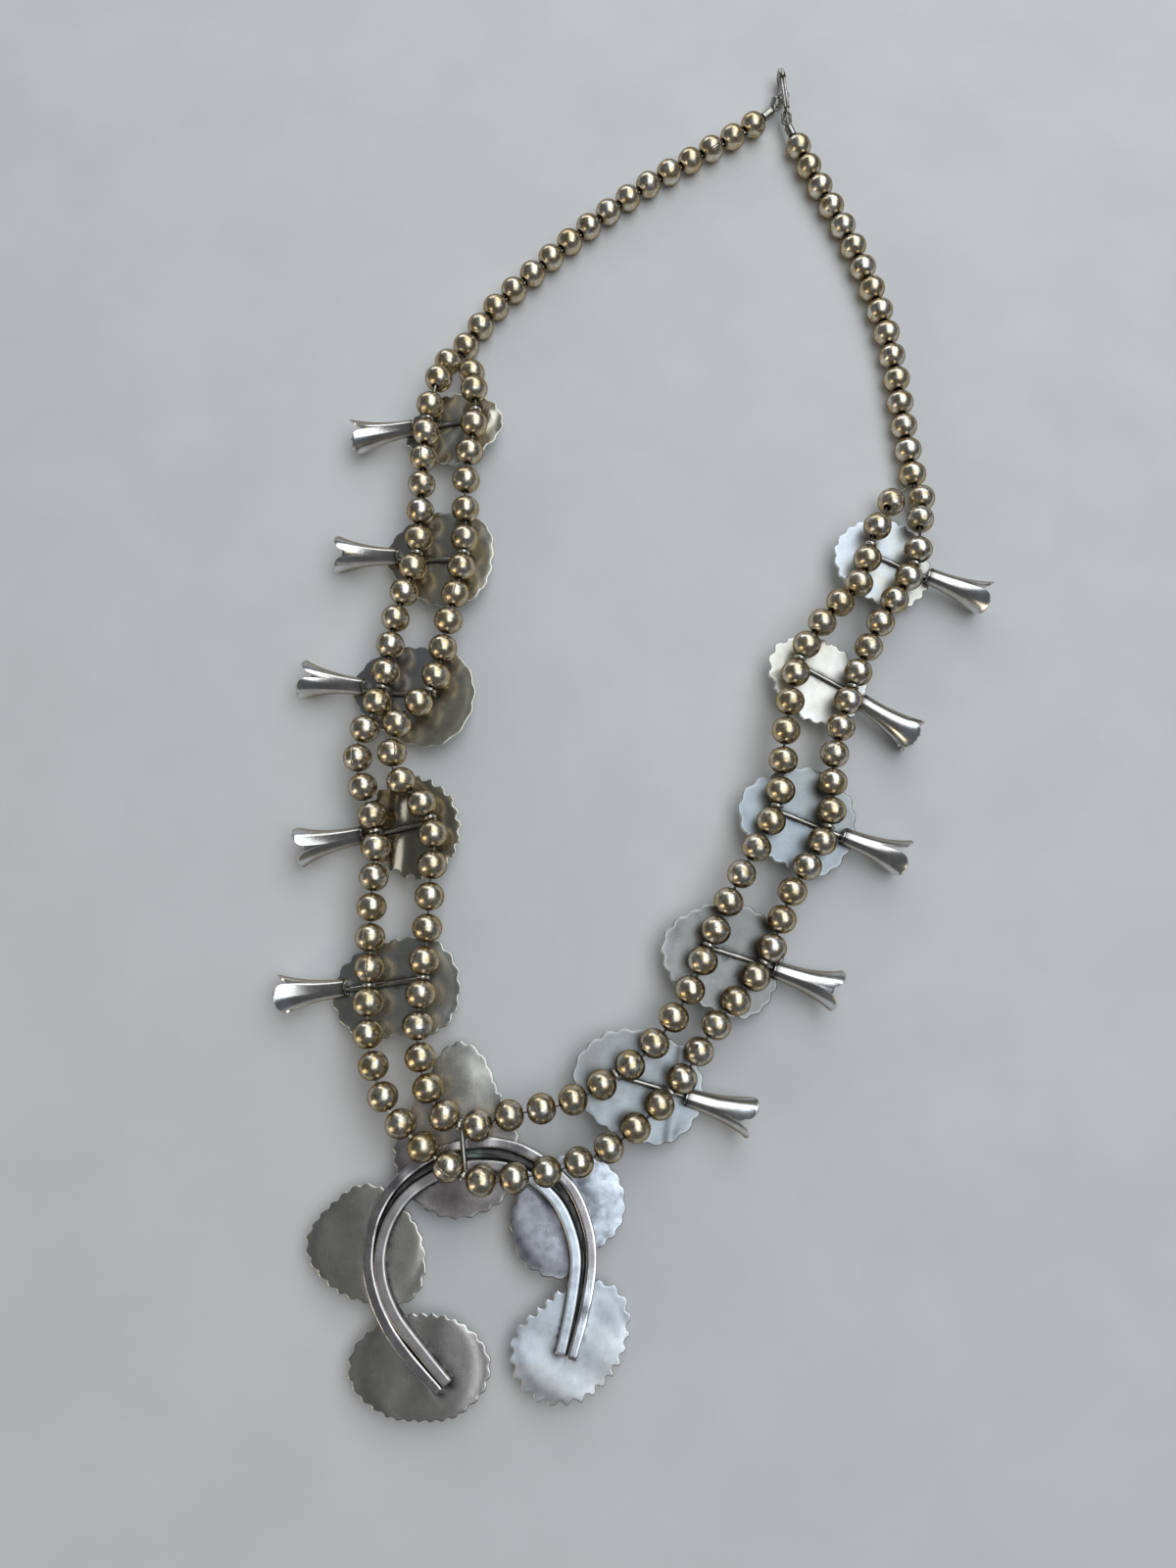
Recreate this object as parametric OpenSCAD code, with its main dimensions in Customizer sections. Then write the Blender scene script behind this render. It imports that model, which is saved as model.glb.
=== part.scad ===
// Squash blossom necklace with two strands, lying face down on a surface.
// Millimetres. X runs to the right, Y to the clasp, Z up from the surface.

/* [Beads] */
// Diameter of a silver bead across its bore
bead_d = 7.3; // [6.8:0.1:7.5]
// Length of a bead along its bore
bead_l = 6.8; // [6.2:0.1:7]
// Least gap between two beads
bead_gap = 0.2; // [0.15:0.05:0.4]
// Bore of a bead that carries one thread
bore_d = 1.6; // [1.4:0.1:2]
// Bore of a neck bead that carries both threads
neck_bore_d = 2.2; // [2:0.1:2.6]
// Diameter of each foxtail thread
thread_d = 0.75; // [0.5:0.05:0.85]

/* [Blossoms] */
// Mean radius of a blossom's back plate
plate_r = 14; // [12:0.5:15]
// Thickness of every plate
plate_t = 0.8; // [0.6:0.1:1.2]
// Depth of the scallops round a plate
scallop_h = 0.6; // [0.3:0.1:1]
// Distance between the two eyelets of a shank
strand_gap = 13.2; // [12:0.2:14]
// Diameter of the shank bar
bar_d = 1.3; // [1:0.1:1.6]
// Outer diameter of an eyelet
eyelet_d = 3.1; // [2.9:0.1:3.5]
// Wire of an eyelet
eyelet_wire = 0.9; // [0.7:0.05:1]
// Height of the beads above the back of a plate
bead_clear = 1.3; // [0.9:0.1:2]

/* [Trumpets] */
// Diameter of a trumpet's stem
stem_d = 3.5; // [3:0.1:4]
// Diameter across the petal tips
mouth_d = 8.8; // [8:0.2:9.6]
// Length of a trumpet
trumpet_l = 17; // [15:0.5:19]
// Thickness of its sheet
trumpet_wall = 0.5; // [0.4:0.05:0.7]
// Depth of the slits between the petals
petal_l = 8.5; // [6:0.5:9.5]

/* [Stones] */
// Share of a plate's radius that its stone takes
stone_share = 0.7; // [0.6:0.02:0.76]
// Height of a bezel
bezel_h = 2.2; // [1.6:0.1:3]
// Wall of a bezel
bezel_wall = 0.45; // [0.35:0.05:0.6]
// Height of a stone's dome above its bezel
crown_h = 2.4; // [1.8:0.1:3]
// Gap between a stone and its setting
stone_gap = 0.15; // [0.1:0.05:0.25]

/* [Naja] */
// Width of the crescent
naja_w = 53.5; // [51:0.5:56]
// Height of the crescent
naja_h = 57; // [54:0.5:60]
// Width of each of its two bands
band_w = 2.4; // [2:0.1:2.5]
// Thickness of the bands
band_t = 2; // [1.5:0.1:2.6]
// Mean radius of a naja plate
naja_plate_r = 14; // [12:0.5:15]

/* [Clasp] */
// Wire of the folded hook
hook_wire = 0.9; // [0.8:0.05:1]
// Length of the hook's shaft
hook_l = 14.3; // [13.5:0.1:15]
// Mean radius of the ring that the hook catches
catch_r = 1.85; // [1.8:0.05:2]
// Wire of that ring
catch_wire = 0.8; // [0.7:0.05:0.85]
// Mean radius of the small loops on the hook and on the end tips
loop_r = 1.35; // [1.3:0.05:1.5]
// Wire of the small loops and links
link_wire = 0.7; // [0.5:0.05:0.75]
// Outer diameter of a crimped end tip
tip_d = 2.6; // [2.5:0.1:3]
// Length of a crimped end tip
tip_l = 3; // [2.5:0.1:3.2]

/* [Hidden] */

silver = "#b5ae9c";
bead_silver = "#c0b48c";
turquoise = "#3fa39b";

// Lay-out of the two strands, in millimetres on the surface, chosen by eye: the two neck runs
// from their end tips to the parting, then for the outer and the inner strand the points that
// it passes in each stretch between two eyelets, from the left parting round to the right one
strand_ways = [
    [[35.3, 164], [32.5, 161.2], [19, 152.5], [0.8, 140.5], [-16, 126.7], [-31, 112.2],
        [-41, 101.5], [-48.5, 90]],
    [[44, 157.5], [51, 141], [57, 128], [62.2, 114], [66.3, 99.5], [68.8, 85], [70, 72],
        [71, 61], [72, 51.5]],
    [[[-53, 84.3], [-55.2, 76]], [[-58.5, 46]], [[-64, 8.5]], [[-72.2, -28]], [[-67.2, -65]],
        [[-66.5, -97], [-60.5, -113]], [[-31.5, -127.5], [-12, -122]], [[14.7, -94]],
        [[34.5, -61.5]], [[46.2, -27.5]], [[59.3, 6.8]], [[71.5, 35.5], [73.5, 44.2]]],
    [[[-46.7, 81.2]], [[-46.8, 47.5]], [[-50.4, 7.5]], [[-62.5, -19.5], [-62.5, -32]],
        [[-53.2, -64]], [[-55, -94], [-52, -108]], [[-33, -113.7], [-19, -110.5]],
        [[0.8, -97.3], [9.3, -85]], [[22.3, -57.3]], [[34.2, -21.5]], [[46, 8.8], [54.6, 17.8]],
        [[60, 33.3], [65.8, 43.3]]]
];
// Each parting: room from the last neck bead to the strand's first, slack left at the first
// eyelet, both as shares of a bead, and between which shares of the stretch the strand climbs.
// Rows: outer left, inner left, outer right, inner right
parting_room = 0;
parting_slack = 1;
climb_from = 2;
climb_to = 3;
partings = [[1.12, 0, 0.14, 0.6], [1.42, 0.3, 0.3, 0.68], [1.15, 0, 0.16, 0.6],
    [1.6, 0.2, 0.28, 0.75]];

// One row per blossom: middle between its eyelets, heading of the trumpet, reach from there to
// the petal tips, place of the plate's middle along and across the heading as shares of
// plate_r, turn of the petals, number of scallops and their depth as a share of scallop_h,
// distance between the eyelets as a share of strand_gap, and turn of the shank bar
blossom_x = 0;
blossom_y = 1;
heading = 2;
reach = 3;
plate_along = 4;
plate_across = 5;
petal_turn = 6;
scallops = 7;
scallop_share = 8;
eyelet_share = 9;
bar_turn = 10;
blossoms = [
    [-50.8, 65.4, 188, 27.6, 0.02, 0.13, 67, 20, 0.8, 0.98, 0],
    [-52.7, 25.9, 176, 28.5, 0.06, -0.02, 44, 20, 0.8, 0.93, 2],
    [-60.2, -10.7, 171, 28.5, -0.05, -0.01, 63, 18, 0.7, 0.93, 4],
    [-59.9, -45.2, 190, 27.7, -0.05, -0.01, 40, 22, 1.2, 1.05, 3],
    [-60.3, -83.1, 186, 29.6, 0.05, 0.07, 102, 22, 1, 0.99, 2],
    [63.2, 25.7, -22, 27.7, -0.01, -0.04, 43, 24, 1, 0.94, -1],
    [44.7, -6.1, -34, 28.1, 0, -0.1, 23, 20, 1, 1.14, 6],
    [37.2, -43.1, -21, 28.3, 0.04, -0.02, 44, 20, 1, 1.03, 0],
    [20.1, -76.6, -19, 27, -0.09, -0.15, 68, 24, 1, 1.06, 2],
    [-2.4, -106.6, -17, 27.6, 0, -0.06, 82, 22, 1, 1.02, 0]
];
// Radius of each blossom plate as shares of plate_r, every 45 degrees from the trumpet round
blossom_forms = [
    [1, 0.79, 0.75, 0.74, 0.98, 0.93, 0.79, 0.82],
    [1.07, 0.86, 0.94, 1.04, 1.01, 1.11, 0.99, 1],
    [1.17, 0.93, 0.94, 1.13, 1.16, 1.12, 0.94, 1.04],
    [1, 0.86, 1, 1, 0.96, 0.97, 0.96, 0.93],
    [1.18, 1.11, 0.86, 1.11, 1.12, 1.04, 0.84, 0.97],
    [0.93, 0.86, 0.89, 0.94, 1.02, 0.93, 0.82, 0.95],
    [0.96, 0.93, 0.81, 0.91, 1.07, 0.86, 0.79, 0.88],
    [1.04, 1.07, 1.04, 1, 1.16, 1, 0.87, 1.07],
    [1.02, 1.12, 1.07, 1.07, 1.18, 0.99, 0.89, 1.07],
    [1.13, 1.07, 0.93, 1.06, 1.2, 1.02, 0.91, 1.09]
];

// Middle of the crescent, and its plates: place as shares of naja_w and naja_h, scallops and
// their depth as a share of scallop_h
naja_at = [-40, -146];
naja_scallops = 2;
naja_scallop_share = 3;
naja_plates = [
    [-0.49, 0.055, 26, 0.9],
    [-0.237, -0.402, 30, 0.9],
    [-0.107, 0.505, 34, 1],
    [0.378, 0.163, 24, 0.9],
    [0.396, -0.312, 25, 1.7]
];
// Radius of each naja plate as shares of naja_plate_r, every 45 degrees from the right round
naja_forms = [
    [0.98, 0.86, 0.98, 0.9, 1.01, 0.88, 0.92, 1.18],
    [1.15, 0.95, 0.83, 0.97, 1.21, 0.97, 0.83, 0.99],
    [1.02, 0.96, 1.46, 0.86, 1.04, 1.3, 1.46, 1.36],
    [0.97, 1.09, 1, 0.9, 0.97, 1.04, 0.99, 0.76],
    [0.95, 1.16, 0.91, 0.79, 1.01, 1.09, 0.96, 0.85]
];
// Middle lines of the two bands, from the left tip round to the right one, as shares
outer_band = [[-0.156, -0.487], [-0.303, -0.345], [-0.385, -0.244], [-0.452, -0.11],
    [-0.475, 0.015], [-0.444, 0.177], [-0.342, 0.319], [-0.161, 0.424], [0.035, 0.455],
    [0.2, 0.418], [0.384, 0.292], [0.465, 0.133], [0.483, 0], [0.455, -0.18], [0.398, -0.366]];
inner_band = [[-0.122, -0.455], [-0.269, -0.303], [-0.347, -0.216], [-0.407, -0.1],
    [-0.424, 0.022], [-0.386, 0.155], [-0.29, 0.27], [-0.1, 0.355], [0.08, 0.362],
    [0.212, 0.319], [0.304, 0.251], [0.363, 0.177], [0.414, 0.03], [0.403, -0.115],
    [0.383, -0.22], [0.35, -0.35]];
// Places of the naja's two eyelets as shares: for the outer strand, then for the inner one
naja_eyelets = [[-0.064, 0.332], [-0.086, 0.525]];

// Place and heading of the hook, whose end loop is its origin, and of the ring that it catches:
// how far along the hook that ring hangs, the way it hangs against the hook's heading, and how
// far its middle stands off the hook's leg, as a share of its radius
hook_at = [42.35, 165.6];
hook_heading = 95;
catch_along = 6.4;
catch_turn = 110;
catch_off = 0.05;

bead_r = bead_d / 2;
bead_half = bead_l / 2;
pitch = bead_l + bead_gap;
eyelet_r = (eyelet_d - eyelet_wire) / 2;
eyelet_clear = eyelet_wire / 2 + 1.3 * bead_gap + bead_half;
eyelet_h = bead_r + bead_clear;
stem_r = stem_d / 2;
mouth_r = mouth_d / 2;
solder = 0.15;
play = 0.15;
setting_h = plate_t + bezel_h + crown_h;
trumpet_h = stem_r - 2 * solder;
lift = play / 3;
catch_z = lift + catch_wire / 2 + catch_r;
leg_z = catch_z - 0.3 * catch_r;
shaft_z = catch_z + catch_r + catch_wire / 2 + 2 * play + hook_wire / 2;
bend_r = (shaft_z - leg_z) / 2;
tip_z = bead_r + 0.25;
tip_fall = 20;
thread_side = thread_d / 2 + 0.06;
thread_sides = 6;
curve_steps = 8;

// Curves through chosen points
function unit(v) = v / norm(v);
function tangent(p, i) = unit(p[min(i + 1, len(p) - 1)] - p[max(i - 1, 0)]);
function on_span(p, i, t) =
    let (l = norm(p[i + 1] - p[i]), a = tangent(p, i) * l, b = tangent(p, i + 1) * l)
    p[i] * (2 * t * t * t - 3 * t * t + 1) + a * (t * t * t - 2 * t * t + t)
    + p[i + 1] * (3 * t * t - 2 * t * t * t) + b * (t * t * t - t * t);
function curve(p, first, last, steps) = [
    for (i = [first:last - 1]) for (k = [0:steps - 1]) on_span(p, i, k / steps), p[last]];
function running(p) = [for (i = 0, s = 0; i < len(p);
    s = s + (i + 1 < len(p) ? norm(p[i + 1] - p[i]) : 0), i = i + 1) s];
function span_at(run, s) = max([for (i = [0:len(run) - 2]) if (i == 0 || run[i] <= s) i]);
function at_length(p, run, s) = let (i = span_at(run, s))
    p[i] + (p[i + 1] - p[i]) * (s - run[i]) / (run[i + 1] - run[i]);
function heading_at(p, run, s) = let (d = bead_half / 2, end = run[len(run) - 1])
    unit(at_length(p, run, min(s + d, end)) - at_length(p, run, max(s - d, 0)));

// Outlines of the plates: a closed curve through eight radii, with or without scallops
function form_share(form, a) =
    let (n = len(form), u = a * n / 360, i = floor(u), t = u - i,
        p = [for (k = [-1:2]) form[(i + k + 2 * n) % n]])
    p[1] + t * ((p[2] - p[0]) / 2 + t * (p[0] - 2.5 * p[1] + 2 * p[2] - p[3] / 2
        + t * (1.5 * (p[1] - p[2]) + (p[3] - p[0]) / 2)));
function around(r, a) = [r * cos(a), r * sin(a)];
function scalloped(form, r, n, h) = [for (k = [0:4 * n - 1]) let (a = k * 90 / n)
    around(form_share(form, a) * r - h * (1 - abs(sin(a * n / 2))), a)];
function plain(form, r, sides) = [for (k = [0:sides - 1]) let (a = k * 360 / sides)
    around(form_share(form, a) * r * stone_share, a)];
function grown(o, by) = [for (k = [0:len(o) - 1])
    let (t = unit(o[(k + 1) % len(o)] - o[(k + len(o) - 1) % len(o)]))
    o[k] + [t[1], -t[0]] * by];

// A stone hangs under its plate: rings of its outline as shares of radius and of the dome
stone_sides = 32;
dome_rings = [[0.94, 0.42], [0.76, 0.76], [0.45, 0.95]];
function stone_rings(form, r) = let (o = plain(form, r, stone_sides), top = -plate_t)
    concat([[for (p = o) [p[0], p[1], top - stone_gap]],
        [for (p = o) [p[0], p[1], top - bezel_h]]],
        [for (g = dome_rings) [for (p = o) [p[0] * g[0], p[1] * g[0],
            top - bezel_h - crown_h * g[1]]]]);
function stone_points(form, r) = concat([for (g = stone_rings(form, r)) each g],
    [[0, 0, -setting_h]]);

// A blossom leans on its stone until the petals come down to the surface
function lean(i) = atan((setting_h + trumpet_h - mouth_r) / blossoms[i][reach]);
function plate_mid(i) = [blossoms[i][plate_along], blossoms[i][plate_across]] * plate_r;
function rise(i) = let (m = plate_mid(i), a = lean(i))
    max([for (p = stone_points(blossom_forms[i], plate_r))
        (p[0] + m[0]) * sin(a) - p[2] * cos(a)]);
function placed(i, p) = let (a = lean(i), h = blossoms[i][heading],
        x = p[0] * cos(a) + p[2] * sin(a))
    [blossoms[i][blossom_x] + x * cos(h) - p[1] * sin(h),
        blossoms[i][blossom_y] + x * sin(h) + p[1] * cos(h),
        rise(i) - p[0] * sin(a) + p[2] * cos(a)];

// Stations of a strand: left parting, eyelets of left 1 to 5, naja, right 5 to 1, parting
outer = 0;
inner = 1;
naja_bead_z = setting_h + band_t + eyelet_h - solder;
unit_order = [0, 1, 2, 3, 4, -1, 9, 8, 7, 6, 5];
function naja_point(share) = naja_at + [share[0] * naja_w, share[1] * naja_h];
function naja_eye(s) = let (p = naja_point(naja_eyelets[s])) [p[0], p[1], naja_bead_z];
function eye_reach(i) = blossoms[i][eyelet_share] * strand_gap / 2;
function eye(i, s) = i < 0 ? naja_eye(s)
    : let (e = around((s == outer ? 1 : -1) * eye_reach(i), blossoms[i][bar_turn]))
    placed(i, [e[0], e[1], eyelet_h]);
neck_l = strand_ways[0];
neck_r = strand_ways[1];
function parting(way) = let (p = way[len(way) - 1]) [p[0], p[1], bead_r];
stations = [for (s = [outer, inner]) concat([parting(neck_l)],
    [for (i = unit_order) eye(i, s)], [parting(neck_r)])];
last_stretch = len(unit_order);
ways = [strand_ways[2], strand_ways[3]];
function flat(p) = [p[0], p[1]];
strands = [for (s = [outer, inner]) concat(
    [for (k = [0:last_stretch]) each concat([flat(stations[s][k])], ways[s][k])],
    [flat(stations[s][last_stretch + 1])])];
function station_index(s, k) = k == 0 ? 0 : station_index(s, k - 1) + 1 + len(ways[s][k - 1]);
function ramp(row, u) = max(0, min(1, (u - row[climb_from]) / (row[climb_to] - row[climb_from])));
function climb(s, k, u) = k == 0 ? ramp(partings[s], u)
    : k == last_stretch ? 1 - ramp(partings[s + 2], 1 - u) : u;
function stretch(s, k) =
    let (p = curve(strands[s], station_index(s, k), station_index(s, k + 1), curve_steps),
        run = running(p), l = run[len(run) - 1], z0 = stations[s][k][2],
        z1 = stations[s][k + 1][2])
    [for (i = [0:len(p) - 1]) [p[i][0], p[i][1], z0 + (z1 - z0) * climb(s, k, run[i] / l)]];
stretches = [for (s = [outer, inner]) [for (k = [0:last_stretch]) stretch(s, k)]];
function eye_heading(s, k) = let (t = tangent(strands[s], station_index(s, k)))
    [t[0], t[1], 0];

// Room that a bead needs beside an eyelet, more where the strand bends there
function eyelet_room(s, k, path, d) =
    let (q = at_length(path, running(path), d),
        c = unit(q - stations[s][k]) * eye_heading(s, k))
    eyelet_r * sqrt(1 - c * c) + sqrt(pow(eyelet_clear, 2) - pow(eyelet_r * c, 2));
function start_room(s, k, path, l) = k == 0 ? partings[s][parting_room] * bead_d
    : eyelet_room(s, k, path, eyelet_clear) + (k == last_stretch ? partings[s + 2][parting_slack]
        * bead_d : 0);
function end_room(s, k, path, l) = k == last_stretch ? partings[s + 2][parting_room] * bead_d
    : eyelet_room(s, k + 1, path, l - eyelet_clear) + (k == 0 ? partings[s][parting_slack]
        * bead_d : 0);

// Beads along a path, each as its middle and the direction of its bore
function spread(path, run, a, free) =
    let (n = floor(free / pitch) + 1, step = free / max(n - 1, 1))
    [for (i = [0:n - 1]) [at_length(path, run, a + i * step),
        heading_at(path, run, a + i * step)]];
function stretch_beads(s, k) =
    let (path = stretches[s][k], run = running(path), l = run[len(run) - 1],
        a = start_room(s, k, path, l))
    spread(path, run, a, l - a - end_room(s, k, path, l));
function neck_beads(way) =
    let (p = curve(way, 0, len(way) - 1, curve_steps), run = running(p),
        path = [for (i = [0:len(p) - 1]) let (u = min(1, run[i] / tip_fall))
            [p[i][0], p[i][1], tip_z + (bead_r - tip_z) * u * u * (3 - 2 * u)]],
        run3 = running(path), a = bead_half + 2 * bead_gap)
    spread(path, run3, a, run3[len(run3) - 1] - a);
strand_beads = [for (s = [outer, inner]) [for (k = [0:last_stretch]) stretch_beads(s, k)]];
// The last neck bead turns to the middle between the two strands
function end_turned(list, a, b) = let (n = len(list) - 1, q = list[n][0])
    [for (i = [0:n]) i < n ? list[i] : [q, unit(2 * list[n][1] + unit(a - q) + unit(b - q))]];
function last_of(list) = list[len(list) - 1];
neck_beads_l = end_turned(neck_beads(neck_l), strand_beads[outer][0][0][0],
    strand_beads[inner][0][0][0]);
neck_beads_r = end_turned(neck_beads(neck_r), last_of(strand_beads[outer][last_stretch])[0],
    last_of(strand_beads[inner][last_stretch])[0]);
naja_stretch = 6;

// End tips, in line with the first bead of each neck run
function tip_dir(list) = -list[0][1];
function tip_at(list, d) = list[0][0] + tip_dir(list) * (bead_half + 2 * bead_gap + d);
loop_at = tip_l + loop_r - solder;

// The catch ring in the hook's own frame, and how the left link goes through it
function hook_place(p) = [hook_at[0] + p[0] * cos(hook_heading) - p[1] * sin(hook_heading),
    hook_at[1] + p[0] * sin(hook_heading) + p[1] * cos(hook_heading), p[2]];
catch_dir = [cos(catch_turn), sin(catch_turn), 0];
catch_mid = [catch_along, 0, catch_z] + catch_dir * catch_r * catch_off;
catch_near = hook_place(catch_mid + catch_dir * catch_r + [0, 0, 3 * play]);
catch_inside = catch_wire / 2 + link_wire / 2 + play;
link_half = 1.2;
link_l_from = tip_at(neck_beads_l, loop_at);
link_l_to = catch_near + unit(catch_near - link_l_from) * catch_inside;
link_r_from = tip_at(neck_beads_r, loop_at);
link_r_to = hook_place([0, 0, shaft_z - loop_r]);

// Directs the Z axis of its children along d
module aim(d) {
    rotate([0, acos(d[2] / norm(d)), atan2(d[1], d[0])]) children();
}

module ring(r, wire) {
    rotate_extrude($fn = 48) translate([r, 0]) circle(d = wire, $fn = 24);
}

// A ring that stands upright in the vertical plane along d
module standing_ring(r, wire, d) {
    rotate([0, 0, atan2(d[1], d[0])]) rotate([90, 0, 0]) ring(r, wire);
}

// A bead is a round arc turned about its bore, so that its ends are a little flatter
module bead(b, bore) {
    translate(b[0]) aim(b[1]) rotate_extrude($fn = 48) intersection() {
        translate([bead_r - bead_half, 0]) circle(d = bead_l, $fn = 48);
        translate([bore / 2, -bead_l]) square([bead_d, 2 * bead_l]);
    }
}

module neck_string(list) {
    color(bead_silver) for (b = list) bead(b, neck_bore_d);
}

module strand_string(s, first, last) {
    color(bead_silver) for (k = [first:last]) for (b = strand_beads[s][k]) bead(b, bore_d);
}

// Rings of points round a thread: straight through each bead, centred in each eyelet
function section(p, d, side) = let (x = unit([-d[1], d[0], 0]), y = cross(d, x))
    [for (k = [0:thread_sides - 1]) let (a = (k + 0.5) * 360 / thread_sides)
        p + x * (side + thread_d / 2 * cos(a)) + y * thread_d / 2 * sin(a)];
bore_end = bead_half - bead_gap / 2;
function through(b, side, way) = [for (e = [-1, 1])
    section(b[0] + b[1] * bore_end * e * way, b[1] * way, side * way)];
function turned(list) = [for (i = [len(list) - 1:-1:0]) list[i]];
function strand_sections(s) = [for (k = [0:last_stretch]) each concat(
    [for (b = strand_beads[s][k]) each through(b, 0, 1)],
    k < last_stretch ? [section(stations[s][k + 1], eye_heading(s, k + 1), 0)] : [])];
function thread_sections(s) = let (side = (s == outer ? -1 : 1) * thread_side,
        tip = tip_l - 1 - play, l = tip_dir(neck_beads_l), r = tip_dir(neck_beads_r))
    concat([section(tip_at(neck_beads_l, tip), -l, side)],
        [for (b = neck_beads_l) each through(b, side, 1)], strand_sections(s),
        [for (b = turned(neck_beads_r)) each through(b, -side, -1)],
        [section(tip_at(neck_beads_r, tip), r, side)]);

module thread(s) {
    rings = thread_sections(s);
    n = thread_sides;
    m = len(rings);
    faces = concat([[for (j = [0:n - 1]) j]], [[for (j = [n - 1:-1:0]) (m - 1) * n + j]],
        [for (i = [0:m - 2]) for (j = [0:n - 1]) let (a = i * n + j, b = i * n + (j + 1) % n)
            each [[a, a + n, b], [b, a + n, b + n]]]);
    color(silver) polyhedron([for (g = rings) each g], faces);
}

module plate(outline) {
    translate([0, 0, -plate_t]) linear_extrude(plate_t) polygon(outline);
}

module bezel(form, r) {
    translate([0, 0, -plate_t - bezel_h]) linear_extrude(bezel_h + solder) difference() {
        polygon(grown(plain(form, r, stone_sides), stone_gap + bezel_wall));
        polygon(grown(plain(form, r, stone_sides), stone_gap));
    }
}

module stone(form, r) {
    n = stone_sides;
    m = len(dome_rings) + 2;
    faces = concat([[for (j = [0:n - 1]) j]],
        [for (i = [0:m - 2]) for (j = [0:n - 1]) let (a = i * n + j, b = i * n + (j + 1) % n)
            each [[a, a + n, b], [b, a + n, b + n]]],
        [for (j = [0:n - 1]) [(m - 1) * n + j, m * n, (m - 1) * n + (j + 1) % n]]);
    polyhedron(stone_points(form, r), faces);
}

// Outer radius of a trumpet: shares of its length and of the way from stem to mouth
trumpet_form = [[0.05, 0], [0.3, 0.09], [0.5, 0.25], [0.7, 0.49], [0.86, 0.74], [1, 1]];
function trumpet_out(g) = [stem_r + (mouth_r - stem_r) * g[1], trumpet_l * g[0]];
// Half of a slit between two petals: shares of its widest and of its depth
slit_form = [[0, 1], [0.24, 0.5], [0.42, 0.24], [0.68, 0.09], [1, -0.02]];
slit_w = 0.82 * mouth_r;

module slit() {
    half = [for (g = slit_form) [g[0] * slit_w, trumpet_l - g[1] * petal_l]];
    other = [for (i = [len(half) - 1:-1:1]) [-half[i][0], half[i][1]]];
    translate([trumpet_wall, 0, 0]) rotate([90, 0, 90]) linear_extrude(mouth_d)
        polygon(concat(half, other));
}

module trumpet(turn) {
    collar = 0.05 * trumpet_l;
    wall = [trumpet_wall, 0];
    outside = concat([[stem_r + solder, 0], [stem_r + solder, collar]],
        [for (g = trumpet_form) trumpet_out(g) + [0, 0.001 * collar]]);
    inside = [for (i = [len(trumpet_form) - 1:-1:0]) trumpet_out(trumpet_form[i])
        + [0, 0.001 * collar] - wall];
    difference() {
        rotate_extrude($fn = 48) polygon(concat([[0, 0]], outside, inside,
            [[0, inside[len(inside) - 1][1]]]));
        for (k = [0:2]) rotate([0, 0, turn + 120 * k]) slit();
    }
}

module blossom(i) {
    form = blossom_forms[i];
    row = blossoms[i];
    half = eye_reach(i);
    stem_at = row[reach] - trumpet_l;
    bar_h = bar_d / 2 - 2 * solder;
    color(silver) union() {
        translate([row[blossom_x], row[blossom_y], rise(i)])
            rotate([0, lean(i), row[heading]]) {
                translate(plate_mid(i)) {
                    plate(scalloped(form, plate_r, row[scallops],
                        scallop_h * row[scallop_share]));
                    bezel(form, plate_r);
                }
                rotate([0, 0, row[bar_turn]]) {
                    translate([-half - bar_d / 2, 0, bar_h]) rotate([0, 90, 0])
                        cylinder(d = bar_d, h = stem_at + half + bar_d, $fn = 24);
                    for (x = [-half, half]) translate([x, 0, 0])
                        cylinder(d = eyelet_wire - solder, h = eyelet_h - eyelet_r, $fn = 24);
                }
                translate([stem_at, 0, trumpet_h]) rotate([0, 90, 0]) trumpet(row[petal_turn]);
            }
        for (s = [outer, inner]) let (k = 1 + search(i, unit_order)[0])
            translate(eye(i, s)) aim(eye_heading(s, k)) ring(eyelet_r, eyelet_wire);
    }
}

module blossom_stone(i) {
    row = blossoms[i];
    color(turquoise) translate([row[blossom_x], row[blossom_y], rise(i)])
        rotate([0, lean(i), row[heading]]) translate(plate_mid(i))
        stone(blossom_forms[i], plate_r);
}

module band(shares) {
    line = curve([for (g = shares) naja_point(g)], 0, len(shares) - 1, 4);
    last = len(line) - 1;
    side = [for (i = [0:last]) let (t = tangent(line, i)) [-t[1], t[0]] * band_w / 2];
    translate([0, 0, setting_h - solder]) linear_extrude(band_t)
        polygon(concat([for (i = [0:last]) line[i] + side[i]],
            [for (i = [last:-1:0]) line[i] - side[i]]));
}

module naja() {
    a = naja_eye(outer);
    b = naja_eye(inner);
    over = unit(b - a) * bar_d / 2;
    bar_z = naja_bead_z - eyelet_h + bar_d / 2 - solder;
    color(silver) union() {
        for (i = [0:len(naja_plates) - 1]) let (row = naja_plates[i], p = naja_point(row))
            translate([p[0], p[1], setting_h]) {
                plate(scalloped(naja_forms[i], naja_plate_r, row[naja_scallops],
                    scallop_h * row[naja_scallop_share]));
                bezel(naja_forms[i], naja_plate_r);
            }
        band(outer_band);
        band(inner_band);
        translate([a[0] - over[0], a[1] - over[1], bar_z]) aim(b - a)
            cylinder(d = bar_d, h = norm(b - a) + bar_d, $fn = 24);
        for (p = [a, b]) translate([p[0], p[1], bar_z])
            cylinder(d = eyelet_wire - solder, h = naja_bead_z - eyelet_r - bar_z, $fn = 24);
        for (s = [outer, inner]) translate(naja_eye(s))
            aim(eye_heading(s, naja_stretch)) ring(eyelet_r, eyelet_wire);
    }
}

module naja_stone(i) {
    p = naja_point(naja_plates[i]);
    color(turquoise) translate([p[0], p[1], setting_h]) stone(naja_forms[i], naja_plate_r);
}

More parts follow.
